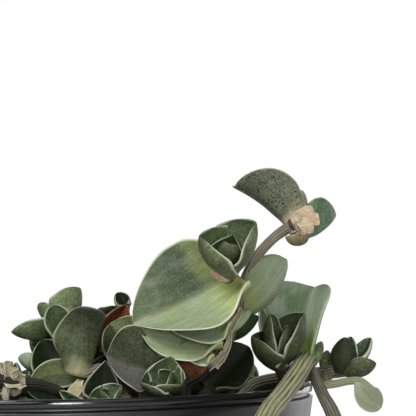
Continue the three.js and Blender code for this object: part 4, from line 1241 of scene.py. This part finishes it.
def soil_height(x, y, edge):
    """The top of the potting mix: crowned in the middle, with low waves."""
    crown = SOIL_CROWN * (1 - (x * x + y * y) / edge**2)
    waves = math.sin(0.55 * x + 1.3) * math.cos(0.47 * y) + 0.6 * math.sin(0.9 * x - 0.8 * y)
    return POT_HEIGHT - SOIL_BELOW_RIM + crown + SOIL_RELIEF * waves


def make_soil(materials):
    """The potting mix, rough on top, with crumbs and flakes of bark pressed into it."""
    draw = random.Random(5)
    top = POT_HEIGHT - SOIL_BELOW_RIM
    edge = inner_radius(top) - SOIL_FROM_WALL
    low = BASE_THICKNESS + SOIL_OVER_BASE
    corner = 1.05
    profile = [(AXIS, low), (inner_radius(low) - corner, low)]
    profile += [(edge * ring / SOIL_RINGS, top) for ring in range(SOIL_RINGS, 0, -1)] + [(AXIS, top)]
    vertices, faces = lathe(profile, SOIL_SEGMENTS)
    shaped = []
    for x, y, z in vertices:
        if z > top - 1:
            rough = noise.fractal((x * 0.9, y * 0.9, 0.3), 1.0, 2.0, 4) * 0.5
            z = soil_height(x, y, edge) + rough
        shaped.append((x, y, z))
    mesh = Mesh()
    mesh.add(shaped, faces, "soil", tone=np.zeros(len(shaped)))
    chip = round_chip()
    for _ in range(CRUMBS):
        add_crumb(mesh, draw, chip, place_on_soil(draw, edge - 1.5), edge)
    for i in range(FALLEN_LEAVES):
        add_leaf(mesh, fallen_leaf(draw, edge), i)
    made = mesh.object("soil_and_bark", materials)
    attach(made, "root")
    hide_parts("potting_mix")


def place_on_soil(draw, reach):
    r = reach * math.sqrt(draw.random())
    turn = draw.uniform(0, 2 * math.pi)
    return r * math.cos(turn), r * math.sin(turn)


def fallen_leaf(draw, edge):
    """A dry leaf that lies curled on the potting mix."""
    x, y = place_on_soil(draw, edge - 8)
    way = draw.uniform(0, 2 * math.pi)
    length = draw.uniform(4, 7.5)
    over_soil = soil_height(x, y, edge) - POT_HEIGHT + 1
    tip = (x + length * math.cos(way), y + length * math.sin(way), over_soil + draw.uniform(-0.3, 0.8))
    face = (draw.uniform(-0.3, 0.3), draw.uniform(-0.3, 0.3), draw.choice((-1, 1)))
    return leaf((x, y, over_soil), tip, face, length * 0.6, "dry", thickness=0.6, wave=2,
                bend_base=10, bend_tip=20, neck=0.3)


def round_chip():
    """Points and faces of an octahedron with its edges split once and its points on a sphere."""
    points = [np.array(p, float) for p in
              ((1, 0, 0), (-1, 0, 0), (0, 1, 0), (0, -1, 0), (0, 0, 1), (0, 0, -1))]
    sides = [(0, 2, 4), (2, 1, 4), (1, 3, 4), (3, 0, 4), (2, 0, 5), (1, 2, 5), (3, 1, 5), (0, 3, 5)]
    index = {}
    faces = []
    for a, b, c in sides:
        for pair in ((a, b), (b, c), (c, a)):
            key = tuple(sorted(pair))
            if key not in index:
                index[key] = len(points)
                points.append(unit(points[key[0]] + points[key[1]]))
        ab, bc, ca = (index[tuple(sorted(pair))] for pair in ((a, b), (b, c), (c, a)))
        faces += [(a, ab, ca), (ab, b, bc), (ca, bc, c), (ab, bc, ca)]
    return points, faces


def add_crumb(mesh, draw, chip, place, edge):
    """A small rough chip, squashed and dented, that is half pressed into the soil."""
    points, faces = chip
    size = draw.choice(CRUMB_SIZES)
    scale = np.array([draw.uniform(0.7, 1.5), draw.uniform(0.5, 1), draw.uniform(0.35, 0.7)]) * size
    shape = np.array([p * draw.uniform(0.75, 1.1) for p in points]) * scale
    round_z = Matrix.Rotation(draw.uniform(0, 6.28), 3, "Z")
    tipped = Matrix.Rotation(draw.uniform(-0.5, 0.5), 3, "X")
    turn = np.array(round_z @ tipped)
    x, y = place
    z = soil_height(x, y, edge) + 0.15 * size
    mesh.add(shape @ turn.T + (x, y, z), faces, "soil", tone=np.full(len(shape), draw.random()))


# The studio

def make_stage(materials):
    vertices, faces = lathe([(AXIS, FLOOR_LEVEL), (FLOOR_RADIUS, FLOOR_LEVEL)], 96)
    mesh = Mesh()
    mesh.add(vertices, faces, "floor")
    floor = mesh.object("floor", materials)


def make_lights():
    """Round soft lights: where each one stands, how wide it is and its power."""
    lights = {
        "key_light": ((-0.3, -0.5, 0.7), 0.5, 6.6),
        "fill_light": ((0.5, -0.8, 0.6), 0.8, 1.5),
        "front_light": ((-0.15, -0.9, 0.45), 0.5, 1.5),
        "rim_light": ((0.24, -0.9, 0.14), 0.22, 2.6),
        "back_light": ((0.1, 0.7, 0.5), 0.6, 2.6),
        "side_light": ((0.6, 0.5, 0.12), 0.8, 3),
    }
    for name, (place, size, power) in lights.items():
        data = bpy.data.lights.new(name, "AREA")
        data.shape = "DISK"
        data.size = size
        data.energy = power
        light = placed(bpy.data.objects.new(name, data))
        light.location = place
        way = Vector(LIT_POINT) - Vector(place)
        light.rotation_euler = way.to_track_quat("-Z", "Y").to_euler()


def make_world():
    """White behind the object, and weaker where it lights the object."""
    world = bpy.data.worlds.new("studio")
    world.use_nodes = True
    bpy.context.scene.world = world
    n = Nodes(world.node_tree)
    back = world.node_tree.nodes["Background"]
    back.inputs["Color"].default_value = (1, 1, 1, 1)
    seen = n.add("ShaderNodeLightPath").outputs["Is Camera Ray"]
    n.fill(back.inputs["Strength"], n.range(seen, 0.0, 1.0, AMBIENT, 1.0))


def make_camera():
    data = bpy.data.cameras.new("camera")
    data.sensor_width = SENSOR_WIDTH
    data.lens = FOCAL_PIXELS / PHOTO_PIXELS * SENSOR_WIDTH
    data.clip_start = 0.01
    camera = placed(bpy.data.objects.new("camera", data))
    place = (CAMERA_SIDE * MM, -CAMERA_BACK * MM, (POT_HEIGHT + CAMERA_OVER_RIM) * MM)
    tilt = Matrix.Rotation(math.radians(90 + CAMERA_PITCH), 4, "X")
    roll = Matrix.Rotation(math.radians(CAMERA_ROLL), 4, "Z")
    camera.matrix_world = Matrix.Translation(place) @ tilt @ roll
    bpy.context.scene.camera = camera


MATERIALS = make_materials()
make_camera()
make_lights()
make_world()
make_stage(MATERIALS)
make_pot(MATERIALS)
make_soil(MATERIALS)
for shoot_name, shoot_parts in SHOOTS.items():
    make_shoot(shoot_name, shoot_parts, MATERIALS)
bpy.context.scene.view_settings.view_transform = "Standard"
